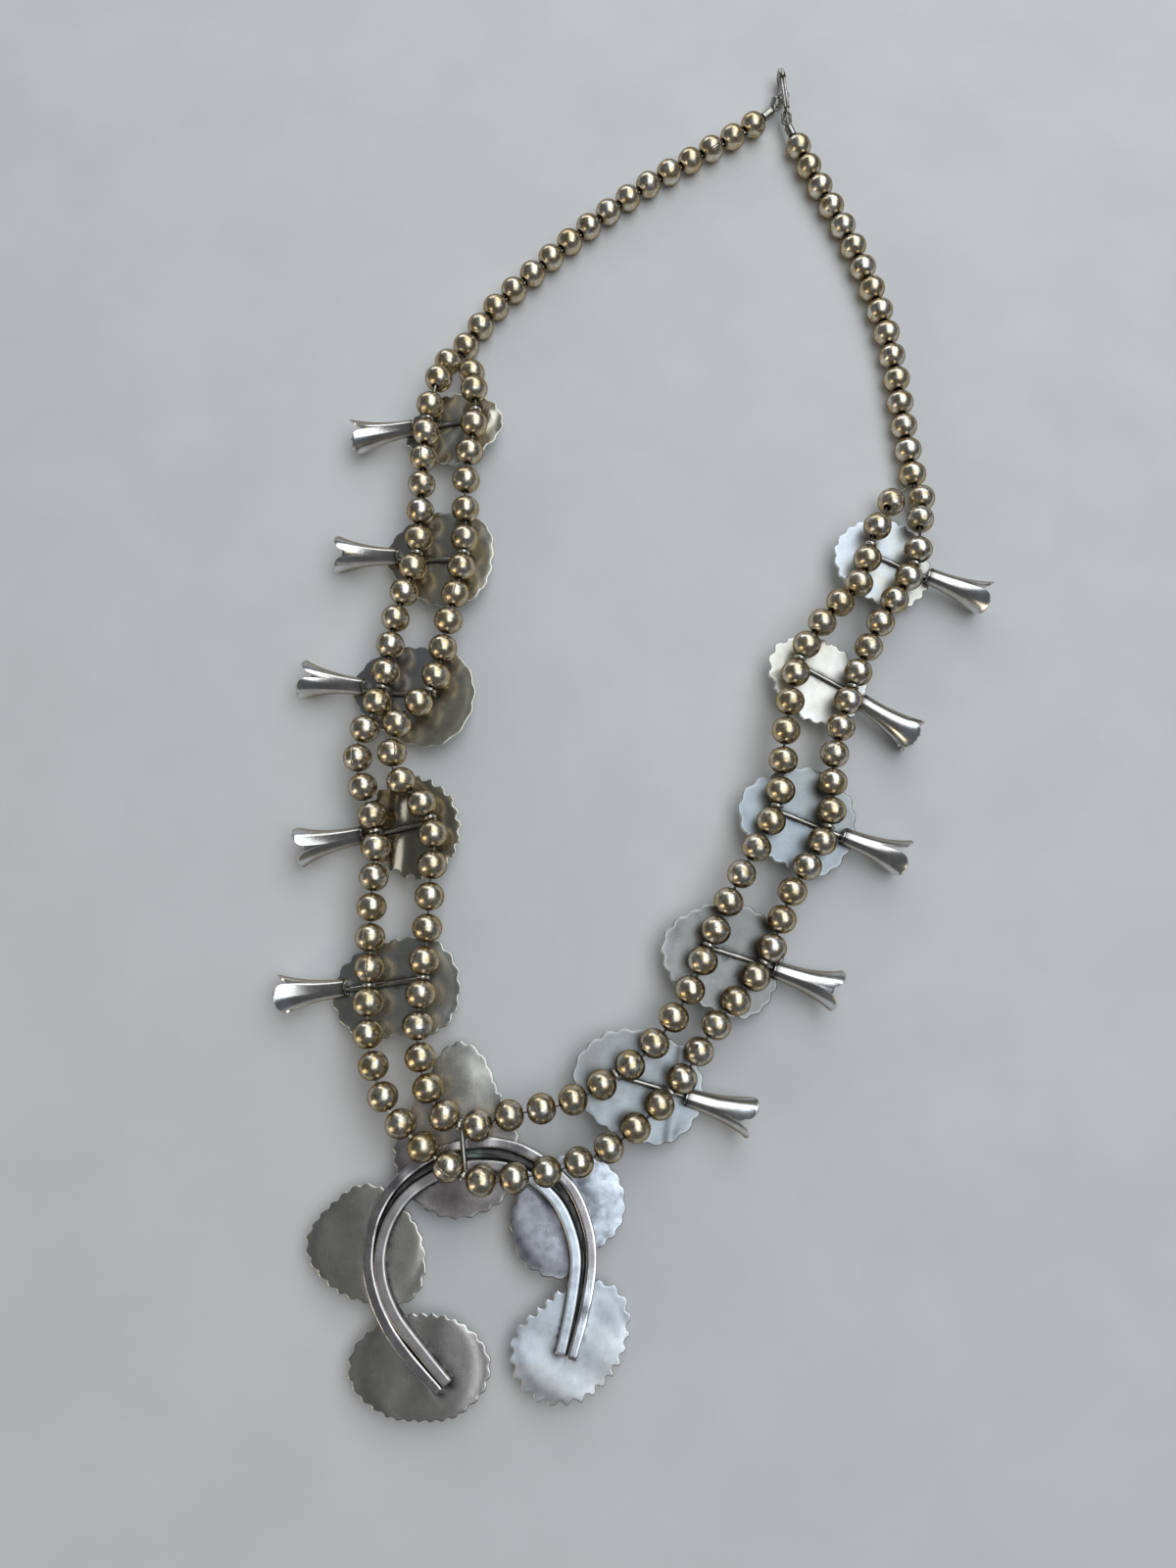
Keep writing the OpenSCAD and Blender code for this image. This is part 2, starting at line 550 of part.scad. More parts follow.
// Both wires of the folded hook lie side by side and are soldered along their length
module folded(part) {
    for (y = [-1, 1]) translate([0, y * (hook_wire / 2 - solder / 2), 0]) children();
}

module clasp_hook() {
    bend_at = hook_l - bend_r;
    leg_l = bend_at - catch_along + 2 * hook_wire;
    color(silver) translate([hook_at[0], hook_at[1], 0]) rotate([0, 0, hook_heading]) {
        translate([0, 0, shaft_z - loop_r]) standing_ring(loop_r, link_wire, [1, 0]);
        folded() union() {
            translate([0.5 * hook_wire, 0, shaft_z]) rotate([0, 90, 0])
                cylinder(d = hook_wire, h = bend_at - 0.5 * hook_wire, $fn = 24);
            translate([bend_at, 0, leg_z + bend_r]) rotate([90, 0, 0]) rotate([0, 0, -90])
                rotate_extrude(angle = 180, $fn = 48) translate([bend_r, 0])
                circle(d = hook_wire, $fn = 24);
            translate([bend_at - leg_l, 0, leg_z]) rotate([0, 90, 0])
                cylinder(d = hook_wire, h = leg_l, $fn = 24);
        }
        translate([bend_at - 2 * hook_wire, 0, shaft_z]) rotate([0, 90, 0])
            cylinder(d = 2 * hook_wire + 2 * solder, h = hook_wire, $fn = 24);
    }
}

module clasp_eye() {
    color(silver) translate([hook_at[0], hook_at[1], 0]) rotate([0, 0, hook_heading])
        translate(catch_mid) standing_ring(catch_r, catch_wire, catch_dir);
}

// An oval link whose wire passes through the points a and b
module link(a, b) {
    l = norm(b - a) - 2 * link_half;
    color(silver) translate((a + b) / 2) aim(b - a) rotate([90, 0, 90]) {
        for (e = [0, 180]) rotate([0, 0, e]) translate([0, l / 2, 0])
            rotate_extrude(angle = 180, $fn = 48) translate([link_half, 0])
            circle(d = link_wire, $fn = 24);
        for (x = [-link_half, link_half]) translate([x, 0, 0]) rotate([90, 0, 0])
            cylinder(d = link_wire, h = l + 2 * solder, center = true, $fn = 24);
    }
}

module end_link_left() {
    link(link_l_from, link_l_to);
}

module end_link_right() {
    link(link_r_from, link_r_to);
}

module end_tip(list, to) {
    color(silver) {
        translate(tip_at(list, 0)) aim(tip_dir(list)) difference() {
            cylinder(d = tip_d, h = tip_l, $fn = 32);
            translate([0, 0, -1]) cylinder(d = neck_bore_d - solder, h = tip_l, $fn = 24);
        }
        translate(tip_at(list, loop_at))
            standing_ring(loop_r, link_wire, to - tip_at(list, loop_at));
    }
}

neck_string(neck_beads_l);  // neck_beads_left
neck_string(neck_beads_r);  // neck_beads_right
strand_string(outer, 0, naja_stretch - 1);  // outer_beads_left
strand_string(outer, naja_stretch, last_stretch);  // outer_beads_right
strand_string(inner, 0, naja_stretch - 1);  // inner_beads_left
strand_string(inner, naja_stretch, last_stretch);  // inner_beads_right
thread(outer);  // outer_thread
thread(inner);  // inner_thread
blossom(0);  // blossom_left_1
blossom(1);  // blossom_left_2
blossom(2);  // blossom_left_3
blossom(3);  // blossom_left_4
blossom(4);  // blossom_left_5
blossom(5);  // blossom_right_1
blossom(6);  // blossom_right_2
blossom(7);  // blossom_right_3
blossom(8);  // blossom_right_4
blossom(9);  // blossom_right_5
blossom_stone(0);  // stone_left_1
blossom_stone(1);  // stone_left_2
blossom_stone(2);  // stone_left_3
blossom_stone(3);  // stone_left_4
blossom_stone(4);  // stone_left_5
blossom_stone(5);  // stone_right_1
blossom_stone(6);  // stone_right_2
blossom_stone(7);  // stone_right_3
blossom_stone(8);  // stone_right_4
blossom_stone(9);  // stone_right_5
naja();
naja_stone(0);  // naja_stone_1
naja_stone(1);  // naja_stone_2
naja_stone(2);  // naja_stone_3
naja_stone(3);  // naja_stone_4
naja_stone(4);  // naja_stone_5
clasp_hook();
clasp_eye();
end_link_left();
end_link_right();
end_tip(neck_beads_l, link_l_to);  // end_tip_left
end_tip(neck_beads_r, link_r_to);  // end_tip_right
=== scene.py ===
import math

import bmesh
import bpy
import numpy as np
from mathutils import Matrix
from numpy.linalg import eigh, norm


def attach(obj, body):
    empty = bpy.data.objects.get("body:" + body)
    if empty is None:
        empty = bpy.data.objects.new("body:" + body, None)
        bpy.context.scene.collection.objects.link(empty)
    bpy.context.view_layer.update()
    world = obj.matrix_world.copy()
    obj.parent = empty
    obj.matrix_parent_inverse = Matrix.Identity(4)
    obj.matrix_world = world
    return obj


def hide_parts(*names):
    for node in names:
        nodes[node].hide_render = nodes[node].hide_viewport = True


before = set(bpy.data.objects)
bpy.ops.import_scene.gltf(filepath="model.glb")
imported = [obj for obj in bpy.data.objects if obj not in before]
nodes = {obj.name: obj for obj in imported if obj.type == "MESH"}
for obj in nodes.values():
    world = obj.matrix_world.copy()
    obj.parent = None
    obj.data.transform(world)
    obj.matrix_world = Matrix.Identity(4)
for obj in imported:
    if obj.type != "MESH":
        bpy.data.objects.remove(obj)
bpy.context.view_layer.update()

MM = 0.001
UP = np.array([0.0, 0.0, 1.0])


# Camera and lights


def placed(name, data):
    """A new object in the scene."""
    made = bpy.data.objects.new(name, data)
    bpy.context.scene.collection.objects.link(made)
    return made


camera = placed("camera", bpy.data.cameras.new("camera"))
camera.data.sensor_width = 36.0
camera.data.lens = 27.0
camera.data.clip_start = 0.01
camera.location = (-0.0150, -0.09885, 0.2932)
camera.rotation_euler = (math.radians(12.7), 0.0, 0.0)
bpy.context.scene.camera = camera
bpy.context.scene.view_settings.view_transform = "Standard"


def soft_light(name, at, towards, size, power, colour):
    """A rectangular soft box at one place, turned towards another."""
    data = bpy.data.lights.new(name, "AREA")
    data.shape = "RECTANGLE"
    data.size, data.size_y = size
    data.energy = power
    data.color = colour
    back = unit(np.array(at) - np.array(towards))
    across = unit(np.cross([0.0, 1.0, 0.0], back))
    turn = np.stack([across, np.cross(back, across), back], axis=1)
    light = placed(name, data)
    light.matrix_world = Matrix.Translation(at) @ Matrix(turn.tolist()).to_4x4()


# Points and surfaces

WELD_DIGITS = 7
LOOP_STEPS = 3
ROUND_ENDS = ((0.85, 0.3), (0.5, 0.45))
ASKEW = np.array([1e-4, 2e-4, 0.0])


def unit(v):
    return v / norm(v, axis=-1, keepdims=True)


def across_of(axis):
    """Two directions across an axis, the first as upright as it can be."""
    axis = unit(axis)
    first = UP - axis * (UP @ axis)
    if norm(first) < 0.01:
        first = np.array([1.0, 0.0, 0.0]) - axis * axis[0]
    first = unit(first)
    return first, np.cross(axis, first)


def smoothstep(x, low, high):
    t = np.clip((x - low) / (high - low), 0.0, 1.0)
    return t * t * (3 - 2 * t)


def fading(distance, start, fade):
    """One as far as start, and then less and less over the length fade."""
    return np.exp(-np.maximum(distance - start, 0) / fade)


def welded(name):
    """Points and triangles of a node of the frame, closed where its normals split them."""
    mesh = nodes[name].data
    points = np.empty(len(mesh.vertices) * 3)
    mesh.vertices.foreach_get("co", points)
    mesh.calc_loop_triangles()
    corners = np.empty(len(mesh.loop_triangles) * 3, int)
    mesh.loop_triangles.foreach_get("vertices", corners)
    points = points.reshape(-1, 3)
    _, first, index = np.unique(np.round(points, WELD_DIGITS), axis=0,
                                return_index=True, return_inverse=True)
    return points[first], index.ravel()[corners].reshape(-1, 3)


def solids(name):
    """The separate solids of a node, each as its points and triangles."""
    points, triangles = welded(name)
    label = np.arange(len(points))
    while True:
        lower = label.copy()
        np.minimum.at(lower, triangles.ravel(), np.repeat(label[triangles].min(axis=1), 3))
        lower = lower[lower]
        if (lower == label).all():
            break
        label = lower
    found = []
    for key in np.unique(label):
        mine = triangles[label[triangles[:, 0]] == key]
        used, index = np.unique(mine, return_inverse=True)
        found.append((points[used], index.reshape(-1, 3)))
    return found


def facets(points, triangles):
    """Middle, unit normal and area of each triangle."""
    a, b, c = (points[triangles[:, k]] for k in range(3))
    normal = np.cross(b - a, c - a)
    double = norm(normal, axis=1)
    return (a + b + c) / 3, normal / np.maximum(double, 1e-18)[:, None], double / 2


def border_loops(triangles):
    """The closed borders of a set of triangles, each as a list of point numbers."""
    edges = np.concatenate([triangles[:, [0, 1]], triangles[:, [1, 2]], triangles[:, [2, 0]]])
    known = {(a, b) for a, b in edges.tolist()}
    after = {a: b for a, b in known if (b, a) not in known}
    loops = []
    while after:
        start, here = after.popitem()
        loop = [start]
        while here != start and here in after:
            loop.append(here)
            here = after.pop(here)
        loops.append(loop)
    return loops


def turned_area(loop):
    """Area of a closed loop in the plane, above zero where it runs anticlockwise."""
    x, y = loop[:, 0], loop[:, 1]
    return 0.5 * np.sum(x * np.roll(y, -1) - np.roll(x, -1) * y)


def by_size(loops):
    """Closed loops in the plane, each turned anticlockwise, the largest first."""
    turned = (loop if turned_area(loop) > 0 else loop[::-1] for loop in loops)
    return sorted(turned, key=lambda loop: -turned_area(loop))


def refined(loop):
    """A closed loop with each side cut into steps along a smooth curve."""
    before, after, beyond = np.roll(loop, 1, 0), np.roll(loop, -1, 0), np.roll(loop, -2, 0)
    t = (np.arange(LOOP_STEPS) / LOOP_STEPS)[None, :, None]
    p0, p1, p2, p3 = (p[:, None, :] for p in (before, loop, after, beyond))
    curve = p1 + 0.5 * t * (p2 - p0 + t * (2 * p0 - 5 * p1 + 4 * p2 - p3
                                           + t * (3 * (p1 - p2) + p3 - p0)))
    return curve.reshape(-1, loop.shape[1])


def smoothed(loop, times):
    """Values round a closed loop, each drawn towards its neighbours a few times."""
    for _ in range(times):
        loop = (np.roll(loop, 1, 0) + 2 * loop + np.roll(loop, -1, 0)) / 4
    return loop


def lifted(flat, z):
    """Points of the plane at a height that is one number or differs from point to point."""
    return np.column_stack([flat, np.broadcast_to(z, len(flat))])


def outward(loop):
    """Outward normals of a closed loop in the plane that runs anticlockwise."""
    along = unit(np.roll(loop, -1, 0) - np.roll(loop, 1, 0))
    return np.stack([along[:, 1], -along[:, 0]], axis=1)


def grid_faces(rows, columns, close_rows=False, close_columns=True):
    i, j = np.meshgrid(np.arange(rows if close_rows else rows - 1),
                       np.arange(columns if close_columns else columns - 1), indexing="ij")
    i2, j2 = (i + 1) % rows, (j + 1) % columns
    quads = np.stack([i * columns + j, i * columns + j2, i2 * columns + j2, i2 * columns + j], -1)
    return quads.reshape(-1, 4).tolist()


class Shape:
    """Points, faces and named values per point that grow into one mesh."""

    def __init__(self):
        self.points, self.faces, self.values, self.count = [], [], [], 0

    def add(self, points, faces, **values):
        points = np.asarray(points).reshape(-1, 3)
        self.points.append(points)
        self.faces.extend([k + self.count for k in face] for face in faces)
        self.values.append({key: np.broadcast_to(np.ravel(value), len(points))
                            for key, value in values.items()})
        self.count += len(points)

    def rings(self, rings, cap=(False, False), close=False, **values):
        """Rings of points joined one to the next, each end closed by a cap where asked."""
        rings = np.asarray(rings)
        rows, columns = rings.shape[:2]
        faces = grid_faces(rows, columns, close)
        if cap[0]:
            faces.append(list(range(columns))[::-1])
        if cap[1]:
            faces.append([(rows - 1) * columns + k for k in range(columns)])
        self.add(rings, faces, **values)

    def mesh(self, name, weld=0.0):
        """One mesh of all that was added, with its values on its points."""
        mesh = bpy.data.meshes.new(name)
        mesh.from_pydata(np.concatenate(self.points).tolist(), [], self.faces)
        for key in sorted({key for part in self.values for key in part}):
            column = [part.get(key, np.zeros(len(points)))
                      for part, points in zip(self.values, self.points)]
            mesh.attributes.new(key, "FLOAT", "POINT").data.foreach_set(
                "value", np.concatenate(column).astype(np.float32))
        work = bmesh.new()
        work.from_mesh(mesh)
        if weld:
            bmesh.ops.remove_doubles(work, verts=work.verts, dist=weld)
        bmesh.ops.recalc_face_normals(work, faces=work.faces)
        work.to_mesh(mesh)
        work.free()
        return mesh

    def piece(self, name, material, slot, *replaced, sharp=40.0):
        """The shape as a piece of the part that rides the root."""
        mesh = self.mesh(name)
        mesh.shade_smooth()
        mesh.set_sharp_from_angle(angle=math.radians(sharp))
        mesh.materials.append(material)
        made = placed(name, mesh)
        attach(made, "root")
        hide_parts(*replaced)


def tube(shape, path, radius, sides=16, **values):
    """A round bar along a path of points, with rounded ends."""
    radius = np.broadcast_to(radius, (len(path),))
    along = unit(np.gradient(path, axis=0))
    side = unit(np.cross(UP + ASKEW, along))
    over = np.cross(along, side)
    turn = np.arange(sides) * 2 * math.pi / sides
    ring = (side[:, None] * np.cos(turn)[None, :, None]
            + over[:, None] * np.sin(turn)[None, :, None])
    rings = path[:, None] + ring * radius[:, None, None]
    ends = []
    for end, way in ((0, -1), (-1, 1)):
        close = [path[end] + along[end] * way * radius[end] * depth
                 + ring[end] * radius[end] * share
                 for share, depth in ROUND_ENDS]
        ends.append(np.array(close[::way]))
    shape.rings(np.concatenate([ends[0], rings, ends[1]]), cap=(True, True), **values)


def torus(shape, centre, axis, radius, wire, steps=40, sides=14, **values):
    """A ring of wire round an axis, its radius taken to the middle of the wire."""
    first, second = across_of(axis)
    a = np.arange(steps)[:, None] * 2 * math.pi / steps
    b = np.arange(sides)[None, :] * 2 * math.pi / sides
    out = first * np.cos(a)[..., None] + second * np.sin(a)[..., None]
    rings = (centre + out * (radius + wire / 2 * np.cos(b))[..., None]
             + unit(axis) * (wire / 2 * np.sin(b))[..., None])
    shape.rings(rings, close=True, **values)


# Materials

# Sockets of a Mix node: its factor, then two inputs and a result for vectors and for colours
FACTOR = 0
VECTOR_A, VECTOR_B, VECTOR_OUT = 4, 5, 1
COLOUR_A, COLOUR_B, COLOUR_OUT = 6, 7, 2


class Look:
    """A material whose colour, roughness and relief vary over the surface."""

    def __init__(self, name, metallic=1.0):
        self.material = bpy.data.materials.new(name)
        self.material.use_nodes = True
        self.tree = self.material.node_tree
        self.shader = self.tree.nodes["Principled BSDF"]
        self.shader.inputs["Metallic"].default_value = metallic
        self.place = self.tree.nodes.new("ShaderNodeTexCoord").outputs["Object"]

    def node(self, kind, **inputs):
        made = self.tree.nodes.new("ShaderNode" + kind)
        for key, value in inputs.items():
            self.feed(made.inputs[key], value)
        return made

    def feed(self, socket, value):
        if isinstance(value, bpy.types.NodeSocket):
            self.tree.links.new(value, socket)
        else:
            socket.default_value = (*value, 1.0) if isinstance(value, tuple) else value

    def noise(self, size, detail=4.0, rough=0.55, stretch=(1.0, 1.0, 1.0), shift=0.0):
        """Noise whose patches are about size metres wide."""
        lay = self.node("Mapping", Vector=self.place)
        lay.inputs["Scale"].default_value = [k / size for k in stretch]
        lay.inputs["Location"].default_value = (shift, shift * 0.7, shift * 1.3)
        made = self.node("TexNoise", Vector=lay.outputs[0], Scale=1.0, Detail=detail,
                         Roughness=rough)
        return made.outputs["Fac"]

    def step(self, value, low, high, bottom=0.0, top=1.0):
        made = self.node("MapRange", Value=value)
        made.interpolation_type = "SMOOTHSTEP"
        for key, number in zip(("From Min", "From Max", "To Min", "To Max"),
                               (low, high, bottom, top)):
            made.inputs[key].default_value = number
        return made.outputs[0]

    def math(self, what, a, b):
        made = self.node("Math")
        made.operation = what
        self.feed(made.inputs[0], a)
        self.feed(made.inputs[1], b)
        return made.outputs[0]

    def mix(self, factor, a, b):
        made = self.node("Mix")
        made.data_type = "RGBA"
        self.feed(made.inputs[FACTOR], factor)
        self.feed(made.inputs[COLOUR_A], a)
        self.feed(made.inputs[COLOUR_B], b)
        return made.outputs[COLOUR_OUT]

    def value(self, name):
        """A value that the mesh holds on its points."""
        made = self.node("Attribute")
        made.attribute_name = name
        return made.outputs["Fac"]

    def finish(self, colour, roughness, relief, depth, strength):
        self.feed(self.shader.inputs["Base Color"], colour)
        self.feed(self.shader.inputs["Roughness"], roughness)
        bump = self.node("Bump", Height=relief, Strength=strength, Distance=depth)
        self.feed(self.shader.inputs["Normal"], bump.outputs[0])
        return self.material


def bead_look(name, silver, gold, brown, limb):
    """Polished beads, each with its own shade, patches of tarnish and a darkening round the bore.
    """
    look = Look(name)
    patches = look.step(look.noise(2.2 * MM), 0.39, 0.64)
    colour = look.mix(patches, silver, gold)
    spots = look.step(look.noise(0.8 * MM, 6.0, 0.65, shift=3.0), 0.48, 0.7, 0.0, 0.8)
    colour = look.mix(spots, colour, brown)
    colour = look.mix(look.math("MULTIPLY", look.value("shade"), 0.55), colour, gold)
    soot = look.math("MULTIPLY", look.value("soot"),
                     look.step(look.noise(0.5 * MM, shift=5.0), 0.2, 0.6, 0.6, 1.0))
    colour = look.mix(soot, colour, (0.035, 0.028, 0.02))
    rough = look.step(look.noise(1.1 * MM, 6.0, 0.65, shift=7.0), 0.3, 0.7, 0.17, 0.36)
    relief = look.math("ADD", look.noise(0.35 * MM, 5.0),
                       look.noise(1.6 * MM, 2.0, shift=9.0))
    look.shader.inputs["Specular Tint"].default_value = (*limb, 1.0)
    return look.finish(colour, rough, relief, 0.05 * MM, 0.42)


def sheet_look(name, first, second, rough, speck=0.3, blotch=0.35, limb=(1.0, 1.0, 1.0)):
    """Sheet silver: two tones that meet by the value side, specks, scratches, and rims partly
    rubbed bright and partly a painted highlight.
    """
    look = Look(name)
    edge = (0.86, 0.84, 0.79)
    wander = look.step(look.noise(6.0 * MM, 4.0), 0.2, 0.8, 0.3, 0.7)
    side = look.math("ADD", look.math("MULTIPLY", look.value("side"), 0.55), wander)
    colour = look.mix(look.step(side, 0.32, 0.78), first, second)
    cloud = look.step(look.noise(2.4 * MM, 5.0, 0.6, shift=2.0), 0.35, 0.7, 0.0, blotch)
    colour = look.mix(cloud, colour, tuple(k * 0.5 for k in first))
    fine = look.step(look.noise(0.42 * MM, 3.0, 0.6, shift=4.0), 0.55, 0.78, 0.0, speck)
    colour = look.mix(fine, colour, tuple(k * 0.62 for k in first))
    bright = look.step(look.noise(0.5 * MM, 2.0, shift=6.0), 0.66, 0.8, 0.0, speck)
    colour = look.mix(bright, colour, edge)
    # Rims brightened: partly rubbed bright, partly a painted highlight
    worn_and_highlit = look.math("MULTIPLY", look.value("rim"),
                     look.step(look.noise(1.8 * MM, 3.0, shift=8.0), 0.25, 0.6, 0.45, 1.0))
    colour = look.mix(worn_and_highlit, colour, edge)
    # Darken by the stored value: soot and dark solder in some places, painted shade in the naja's
    # groove, at the bands' foot and round the trumpets' collars
    colour = look.mix(look.value("soot"), colour, (0.03, 0.027, 0.025))
    gloss = look.step(look.noise(4.0 * MM, 5.0, shift=1.5), 0.2, 0.8, rough - 0.1 * blotch,
                      rough + 0.2 * blotch)
    scratch = look.noise(0.3 * MM, 2.0, stretch=(1.0, 0.06, 1.0), shift=2.5)
    relief = look.math("ADD", look.math("MULTIPLY", look.noise(1.5 * MM, 3.0, shift=3.5), blotch),
                       look.math("MULTIPLY", scratch, 0.35))
    look.shader.inputs["Specular Tint"].default_value = (*limb, 1.0)
    return look.finish(colour, gloss, relief, 0.06 * MM, 0.4)


def stone_look(name):
    """Turquoise with a few brown veins."""
    look = Look(name, 0.0)
    colour = look.mix(look.step(look.noise(5.0 * MM), 0.35, 0.65), (0.07, 0.36, 0.33),
                      (0.13, 0.47, 0.45))
    vein = look.node("TexVoronoi", Scale=1.0)
    vein.feature = "DISTANCE_TO_EDGE"
    lay = look.node("Mapping", Vector=look.place)
    lay.inputs["Scale"].default_value = [1 / (3.4 * MM)] * 3
    bend = look.node("TexNoise", Vector=lay.outputs[0], Scale=1.3, Detail=4.0)
    moved = look.node("Mix")
    moved.data_type = "VECTOR"
    moved.inputs[FACTOR].default_value = 0.35
    look.feed(moved.inputs[VECTOR_A], lay.outputs[0])
    look.feed(moved.inputs[VECTOR_B], bend.outputs["Color"])
    look.feed(vein.inputs["Vector"], moved.outputs[VECTOR_OUT])
    line = look.step(vein.outputs["Distance"], 0.0, 0.09, 1.0, 0.0)
    line = look.math("MULTIPLY", line, look.step(look.noise(4.0 * MM, shift=4.0), 0.4, 0.6))
    colour = look.mix(line, colour, (0.06, 0.035, 0.02))
    look.shader.inputs["Coat Weight"].default_value = 0.25
    return look.finish(colour, look.step(line, 0.0, 1.0, 0.22, 0.5), line, -0.05 * MM, 0.3)


# Beads

rng = np.random.default_rng(41)
BEAD_ROWS = 24
BEAD_SIDES = 42
BORE_LIP, BORE_DEPTH, BORE_EDGE, BORE_ROUND = 0.22 * MM, 0.16 * MM, 0.02 * MM, 0.07 * MM
BORE_DARK = 0.3 * MM
# Angles about the bore, and depths as shares of the radius
SEAM_STEPS = (-0.09, -0.045, -0.018, 0.0, 0.018, 0.045, 0.09)
SEAM_CLEAR = 0.16
SEAM_WIDTH = 0.022
SEAM_DEPTH, CLOSED_DEPTH = 0.018, 0.002
SEAM_SHARE = 0.4
WAVES, WAVE_DEPTH = 3, 0.005
DENT_DEPTHS, DENT_WIDTHS = (0.005, 0.028), (0.12, 0.3)
SQUEEZE = 0.03


def bead_places(name):
    """Middle, bore direction and bore radius of each bead of a node, and the arc of its form:
    its radius and how far from the bore's line its middle lies."""
    found = []
    for points, triangles in solids(name):
        middle, normal, area = facets(points, triangles)
        centre = (middle * area[:, None]).sum(0) / area.sum()
        wall = ((middle - centre) * normal).sum(1) < 0
        spread = (normal[wall] * area[wall, None]).T @ normal[wall]
        axis = eigh(spread)[1][:, 0]
        along = (points - centre) @ axis
        wide = norm(points - centre - np.outer(along, axis), axis=1)
        bore, reach, high = wide.min(), wide.max(), np.abs(along).max()
        arc = ((reach - bore) ** 2 + high ** 2) / (2 * (reach - bore))
        found.append((centre, axis, bore, arc, reach - arc))
    return found


def add_bead(shape, centre, axis, bore, arc, off):
    """A bead of thin sheet: dented, a little out of round, drilled, some with an open seam."""
    start = rng.uniform(0, 2 * math.pi)
    seamed = rng.random() < SEAM_SHARE
    from_seam = np.concatenate([SEAM_STEPS, np.linspace(
        SEAM_CLEAR, 2 * math.pi - SEAM_CLEAR, BEAD_SIDES - len(SEAM_STEPS))])
    phi = start + from_seam
    lip = math.asin((bore + BORE_LIP - off) / arc)
    polar = np.linspace(lip, math.pi - lip, BEAD_ROWS)
    high = arc * math.cos(lip)
    deep, shallow, rounded = high - BORE_DEPTH, high - BORE_EDGE, bore + BORE_ROUND
    along = np.concatenate([[0.0, deep, shallow], arc * np.cos(polar), [-shallow, -deep]])
    wide = np.concatenate([[bore, bore, rounded], off + arc * np.sin(polar), [rounded, bore]])
    first, second = across_of(axis)
    out = first * np.cos(phi)[:, None] + second * np.sin(phi)[:, None]
    local = along[:, None, None] * axis + wide[:, None, None] * out[None]
    way = unit(local)
    dent = np.zeros(way.shape[:2])
    for _ in range(WAVES):
        pole = unit(rng.normal(size=3))
        wave = np.sin(rng.uniform(2.5, 5.0) * (way @ pole) + rng.uniform(0, 6.28))
        dent += WAVE_DEPTH * (wave - 0.5)
    for _ in range(rng.integers(1, 4)):
        pole = unit(rng.normal(size=3) + 0.5 * UP)
        angle = np.arccos(np.clip(way @ pole, -1, 1))
        dent -= rng.uniform(*DENT_DEPTHS) * np.exp(-(angle / rng.uniform(*DENT_WIDTHS)) ** 2)
    near = np.minimum(np.abs(from_seam), 2 * math.pi - from_seam)
    groove = np.exp(-(near / SEAM_WIDTH) ** 2) - 0.35 * np.exp(-((near - 0.06) / 0.03) ** 2)
    dent -= (SEAM_DEPTH if seamed else CLOSED_DEPTH) * groove[None]
    dent = np.minimum(dent, 0.0)
    skin = (wide > bore + 0.1 * MM)[:, None]
    local = local * (1 + dent * skin)[..., None]
    squeeze = unit(np.cross(axis, rng.normal(size=3)))
    local -= (local @ squeeze)[..., None] * squeeze * rng.uniform(0.0, SQUEEZE)
    # Darker round the bore and along the seam
    soot = fading(wide, bore, BORE_DARK)[:, None] * np.ones(len(phi))
    soot = np.clip(soot + (0.85 if seamed else 0.1) * np.exp(-(near / 0.025) ** 2)[None], 0, 1)
    shape.rings(centre + local, close=True, soot=soot, shade=rng.random())


bead_silver = bead_look("bead_silver", (0.79, 0.76, 0.71), (0.59, 0.47, 0.27),
                        (0.14, 0.10, 0.065), (0.36, 0.26, 0.15))
for run in ("neck", "outer", "inner"):
    for hand in ("left", "right"):
        name = f"{run}_beads_{hand}"
        string = Shape()
        for place in bead_places(name):
            add_bead(string, *place)
        string.piece(f"{name}_drilled", bead_silver, "bead_silver", name)


# Plates, bezels and stones

SHEET_RANGE = (0.4 * MM, 1.3 * MM)
NOTCH_PASSES, CALM_PASSES = 60, 30
JAG, TOOTH_JAG, FINE_JAG = 0.34 * MM, 0.7 * MM, 0.05 * MM
DROOP = 0.12 * MM
CLEAR_FROM, CLEAR_TO = 0.7 * MM, 2.6 * MM
LIP, LIP_ROUND = 0.25 * MM, 0.07 * MM


class Seat:
    """The frame of a back plate: its own up, the way it heads and where its back lies."""

    def __init__(self, up):
        self.up = up
        downhill = np.array([up[0], up[1], 0.0])
        tilted = norm(downhill) > 0.001
        ahead = unit(downhill) if tilted else np.array([1.0, 0.0, 0.0])
        self.ahead = unit(ahead - up * (ahead @ up))
        self.left = np.cross(up, self.ahead)
        self.origin = np.zeros(3)
        self.turn = np.stack([self.ahead, self.left, self.up], axis=1)

    def here(self, points):
        """Points of the frame as the plate has them: ahead, left and up."""
        return (np.asarray(points) - self.origin) @ self.turn

    def there(self, points):
        return np.asarray(points) @ self.turn.T + self.origin

    def way(self, across, upward):
        """A direction of the photo, right and up, in the plate's own plane."""
        seen = np.array([across, upward, 0.0])
        return np.array([seen @ self.ahead, seen @ self.left])


def plate_seat(points, triangles):
    """The seat of the largest face that looks up, its level, and the borders under it."""
    middle, normal, area = facets(points, triangles)
    steep = normal[:, 2] > 0.98
    depth = (middle[steep] * normal[steep]).sum(1)
    key = np.round(np.column_stack([normal[steep] * 500, depth * 20000])).astype(int)
    _, group = np.unique(key, axis=0, return_inverse=True)
    group = group.ravel()
    flat = group == np.bincount(group, area[steep]).argmax()
    seat = Seat(unit((normal[steep] * area[steep, None])[flat].sum(0)))
    level = np.median(middle[steep][flat] @ seat.up)
    depth = level - middle @ seat.up
    under = (normal @ seat.up < -0.999) & (depth > SHEET_RANGE[0]) & (depth < SHEET_RANGE[1])
    thick = np.median(depth[under])
    return seat, level, thick, border_loops(triangles[under])


